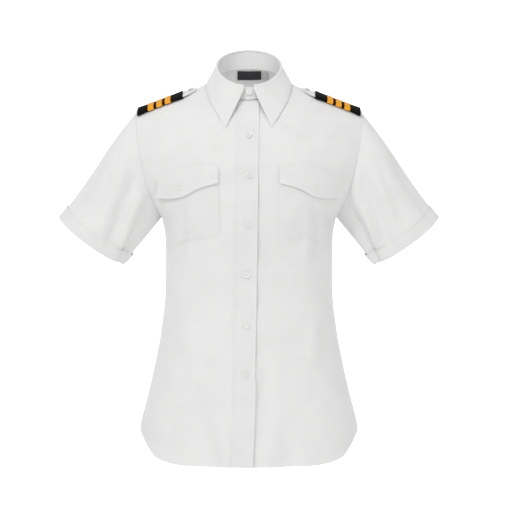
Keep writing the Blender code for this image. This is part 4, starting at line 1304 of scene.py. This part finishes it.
def placket_lift(rows, columns):
    """How far the band stands off: sewn down at one edge, gaping at the other between buttons."""
    side = np.linspace(0, 1, columns)[None, :]
    z = np.linspace(HEM["z"][0], PLACKET_TOP_Z, rows)[:, None]
    nearest = np.min(np.abs(z[..., None] - BUTTONS), axis=-1)
    held = ease((nearest - BUTTON_HOLD) / BUTTON_LET_GO)
    gape = (0.35 + 0.65 * held) * (0.5 + ease((GAPE_TOP_Z - z) / GAPE_RUN))
    return PLACKET_REST + PLACKET_GAPE * gape * side**2


def add_placket():
    raw = placket_grid(25)
    rows, columns = raw.shape[:2]
    top, normals = add_laid("placket", raw, placket_lift(rows, columns))
    near = (columns - 1) * PLACKET_SEAM / (2 * PLACKET_HALF_WIDTH)
    far = columns - 1 - near
    runs = [line_on(top, normals, [(0.5, column), (rows - 1, column)], 400) for column in (near, far)]
    runs.append(line_on(top, normals, [(rows * 0.087, near), (rows * 0.087, far)], 60))
    add_stitches("placket_stitches", runs)


def flap_lift(outer):
    """How far a flap stands off its pocket: sewn down at the top, curling most at its outer corner."""
    down = 1 - np.linspace(0, 1, FLAP_ROWS)[:, None]
    belly = FLAP_BELLY * ease(down / 0.5) * np.sin(math.pi * outer) ** 0.5
    curl = FLAP_HANG + FLAP_CORNER * outer**3 + FLAP_INNER_CORNER * (1 - outer) ** 4
    return FLAP_REST + FLAP_TURN * ease(down / 0.35) + belly + down**1.6 * curl


def add_pocket(side, word):
    outer = np.linspace(0, 1, POCKET_COLUMNS)[None, ::side]
    raw = lying_grid(side, POCKET_BOTTOM, POCKET_TOP, POCKET_ROWS, POCKET_COLUMNS)
    up = np.linspace(0, 1, POCKET_ROWS)[:, None]
    puff = np.sin(math.pi * outer) ** 0.6 * ease(up / 0.2)
    top, normals = add_laid("pocket_" + word, raw, POCKET_REST + POCKET_PUFF * puff)
    runs = [line_on(top, normals, three_sides(POCKET_ROWS - 1, 0.7, 0.7, POCKET_COLUMNS), 500)]
    raw = lying_grid(side, FLAP_BOTTOM, FLAP_TOP, FLAP_ROWS, POCKET_COLUMNS)
    top, normals = add_laid("flap_" + word, raw, flap_lift(outer))
    runs.append(line_on(top, normals, three_sides(FLAP_ROWS - 1, 2.6, 2.2, POCKET_COLUMNS), 500))
    runs.append(line_on(top, normals, [(23.2, 0.6), (23.2, 43.4)], 200))
    add_stitches("pocket_stitches_" + word, runs)


def add_cuff(side, word):
    raw = sleeve(side, sleeve_angles()[None, :], cuff_levels(side))
    free = np.linspace(1, 0, raw.shape[0])[:, None]
    turn = np.radians(sleeve_angles())[None, :]
    wave = 0.25 + 1.3 * np.cos(turn / 2) ** 4 + 0.2 * np.sin(turn * 3 + side)
    lift = CUFF_REST + CUFF_GAPE * free * wave
    top, normals = add_laid("cuff_" + word, raw, lift, CUFF_THICK, side > 0, True)
    path = [(1.0, 0), (1.0, raw.shape[1] - 1)]
    add_stitches("cuff_stitches_" + word, [line_on(top, normals, path, 700)])


def add_leaf():
    grid = leaf_grid(97)
    rows, columns = grid.shape[:2]
    normals = outward_of(grid, True)
    add_cloth("collar_leaf", grid, normals, -LEAF_THICK, 0.0, flip=True)
    path = three_sides(4, rows - 1 - 2.6, 4.0, columns)
    add_stitches("collar_stitches", [line_on(grid, normals, path, 900)])


def add_strap(side, word):
    middle, normals = strap_points(side, *strap_layout(64, 21))
    add_cloth("strap_" + word, middle, normals, -STRAP_HALF_THICK, STRAP_HALF_THICK, flip=side < 0)
    top = middle + normals * STRAP_HALF_THICK
    path = [(1.6, 24), (1.6, 0.9), (19.2, 0.9), (18.4, 24)]
    add_stitches("strap_stitches_" + word, [line_on(top, normals, path, 300)])


def slide_depth(x):
    """Half the depth of the slide, which gapes a little towards the sleeve."""
    return SLIDE_HALF_DEPTH + SLIDE_GAPE * ease((x - SLIDE_GAPE_X) / (SLIDE_ENDS[1] - SLIDE_GAPE_X)) ** 2


def round_slide(side, ring, stations):
    """Rows of points over the slide, a row to a station, through (offset, height) shares of its section."""
    shares = np.linspace(-1.05, 1.05, 27)
    middle, normals = strap_points(side, *np.meshgrid(stations, shares * SLIDE_HALF_WIDTH))
    rows = []
    for column, station in enumerate(stations):
        place = between(ring[:, 0], shares, middle[:, column])
        lean = between(ring[:, 0], shares, normals[:, column])
        rows.append(place + unit(lean) * (ring[:, 1] * slide_depth(station))[:, None])
    return np.array(rows)


def add_slide(side, word):
    grid = round_slide(side, slide_ring(30), np.linspace(*SLIDE_ENDS, 40))
    look = {"finish": slide_material(), "slot": "slide_black"}
    normals = outward_of(grid, side > 0, True)
    add_cloth("slide_" + word, grid, normals, -SLIDE_THICK, 0.0, True, side > 0, **look)
    for number in range(len(BARS["x"])):
        add_bar(side, word, number)


def add_bar(side, word, number):
    """A bar of braid across the slide's top, turned down over its front edge."""
    flat = np.stack([np.linspace(-0.95, 0.97, 58), np.ones(58)], axis=-1)
    stations = np.linspace(BARS["x"][number], BARS["end.x"][number], 11)
    skin = round_slide(side, np.concatenate([BAR_WRAP, flat]), stations).transpose(1, 0, 2)
    normals = outward_of(skin, side < 0)
    rise = 1 - np.abs(np.linspace(-1, 1, 11)) ** 5
    grid = skin + normals * (BAR_REST + BAR_THICK * rise)[None, :, None]
    look = {"finish": kept("bar_gold_thread", gold_maker), "slot": "bar_gold"}
    add_cloth(f"bar_{word}_{number + 1}", grid, normals, -BAR_THICK, 0.0, flip=side < 0, **look)


def button_blank():
    """A moulded button with a rim, a dish and four holes, its face towards +Z, of radius 1."""
    turns = np.linspace(0, 2 * math.pi, BUTTON_SIDES, endpoint=False)
    rings = len(BUTTON_PROFILE)
    points = [(r * math.cos(turn), r * math.sin(turn), z) for r, z in BUTTON_PROFILE for turn in turns]
    faces = grid_faces(rings, BUTTON_SIDES, True)
    faces.append(tuple(reversed(range(BUTTON_SIDES))))
    faces.append(tuple(range((rings - 1) * BUTTON_SIDES, rings * BUTTON_SIDES)))
    blank = add_mesh("button_blank", points, faces, kept("button_resin_pearl", resin_maker))
    cutters = []
    for x, y in BUTTON_HOLES:
        bpy.ops.mesh.primitive_cylinder_add(vertices=16, radius=HOLE_RADIUS, depth=1.2, location=(x, y, 0))
        cutter = bpy.context.object
        cut = blank.modifiers.new("hole", "BOOLEAN")
        cut.object, cut.operation, cut.solver = cutter, "DIFFERENCE", "EXACT"
        cutters.append(cutter)
    graph = bpy.context.evaluated_depsgraph_get()
    mesh = bpy.data.meshes.new_from_object(blank.evaluated_get(graph))
    for thing in cutters + [blank]:
        bpy.data.objects.remove(thing, do_unlink=True)
    return mesh


def add_button(node, blank, normal, radius, turn, threads_to):
    """The detailed button at its node's place, and the ends of its threads."""
    low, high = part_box(node)
    middle = (np.array(low) + np.array(high)) / 2
    side = unit(np.cross((math.sin(turn), math.cos(turn), 0.02), normal))
    frame = np.stack([side, np.cross(normal, side), normal]) * radius
    mesh = blank.copy()
    points = np.empty(len(mesh.vertices) * 3)
    mesh.vertices.foreach_get("co", points)
    mesh.vertices.foreach_set("co", (points.reshape(-1, 3) @ frame + middle).ravel())
    mesh.shade_smooth()
    mesh.set_sharp_from_angle(angle=math.radians(35))
    ride(linked(node + "_pearl", mesh), "button_resin", node)
    for first, second in ((0, 2), (1, 3)):
        ends = [np.array((*BUTTON_HOLES[k], 0.1)) @ frame + middle for k in (first, second)]
        threads_to.append((ends[0], ends[1], normal))


def add_buttons():
    blank = button_blank()
    ends = []
    for number, z in enumerate(BUTTONS, 1):
        normal = on_front(float(placket_x(z)) + 1 * MM, z)[1]
        add_button(f"button_front_{number}", blank, normal, BUTTON_RADIUS, 0.3 * number, ends)
    low, high = neckline(0.0), roll(0.0)
    add_button("button_stand", blank, unit(np.cross((1.0, 0.0, 0.0), high - low)), BUTTON_RADIUS, 0.4, ends)
    for side, word in ((-1, "right"), (1, "left")):
        normal = on_front(side * FLAP_BUTTON[0], FLAP_BUTTON[1])[1]
        add_button("button_flap_" + word, blank, normal, SMALL_BUTTON_RADIUS, 0.2 * side, ends)
        x, offset = strap_layout(12, 7)
        normal = strap_points(side, x, offset)[1][3, 1]
        add_button("button_strap_" + word, blank, normal, SMALL_BUTTON_RADIUS, 0.5, ends)
    starts, stops, normals = (np.array(column) for column in zip(*ends))
    pegs("button_threads", starts, stops, normals, *BUTTON_THREAD)


def add_label(node, corners, finish, slot):
    x, z = np.linspace(*corners["x"], 25), np.linspace(*corners["z"], 15)
    curl = LABEL_CURL * np.sin(math.pi * np.linspace(0, 1, 25)) ** 2
    lift = (LABEL_DEPTH + curl)[None, :]
    raw = seen_from_front(*np.meshgrid(x, z), BACK)
    add_laid(node, raw, lift, LABEL_THICK, finish=finish, slot=slot)


def add_stage():
    """A floor, and a glowing backdrop that curves up into a wall."""
    profile = [(FLOOR_END_Y, FLOOR_Z)]
    for turn in np.linspace(0, math.pi / 2, 13):
        y = CURVE_Y + CURVE_RADIUS * math.sin(turn)
        profile.append((y, FLOOR_Z + CURVE_RADIUS * (1 - math.cos(turn))))
    profile.append((CURVE_Y + CURVE_RADIUS, WALL_TOP_Z))
    floor = [(-STAGE_REACH, FLOOR_Z), (FLOOR_END_Y, FLOOR_Z)]
    add_paper("studio_floor", floor, kept("studio_paper", paper_maker))
    add_paper("studio_backdrop", profile, kept("backdrop_paper", paper_maker, BACKDROP_GLOW))


def add_paper(name, profile, finish):
    """A strip of studio paper, running over (y, z) points."""
    points = [(x, y, z) for y, z in profile for x in (-STAGE_REACH, STAGE_REACH)]
    faces = [(2 * k, 2 * k + 1, 2 * k + 3, 2 * k + 2) for k in range(len(profile) - 1)]
    add_mesh(name, points, faces, finish)


def add_light(name, place, target, size, power):
    data = bpy.data.lights.new(name, "AREA")
    data.shape, data.size, data.energy = "DISK", size, power
    lamp = linked(name, data)
    lamp.location = place
    lamp.rotation_euler = (Vector(target) - Vector(place)).to_track_quat("-Z", "Y").to_euler()


def add_lights():
    for name, place, target, size, power in LIGHTS:
        add_light(name, place, target, size, power)
    world = bpy.data.worlds.new("studio_air")
    world.use_nodes = True
    air = world.node_tree.nodes["Background"].inputs
    air["Color"].default_value = (1, 1, 1, 1)
    air["Strength"].default_value = AIR_STRENGTH
    bpy.context.scene.world = world
    bpy.context.scene.view_settings.view_transform = "Standard"


def add_camera():
    data = bpy.data.cameras.new("photo_camera")
    data.sensor_width = 36
    data.lens = CAMERA_LENS
    data.clip_end = 100
    camera = linked("photo_camera", data)
    camera.location = CAMERA_PLACE
    camera.rotation_euler = (math.pi / 2, 0, 0)
    bpy.context.scene.camera = camera


def main():
    add_panels()
    add_placket()
    add_leaf()
    for side, word in ((-1, "right"), (1, "left")):
        add_pocket(side, word)
        add_cuff(side, word)
        add_strap(side, word)
        add_slide(side, word)
    add_buttons()
    add_label("neck_label", NECK_LABEL, label_material(), "label_black")
    add_label("size_tab", SIZE_TAB, shaded_tab_material(), "shirt_cloth")
    add_stage()
    add_lights()
    add_camera()


main()
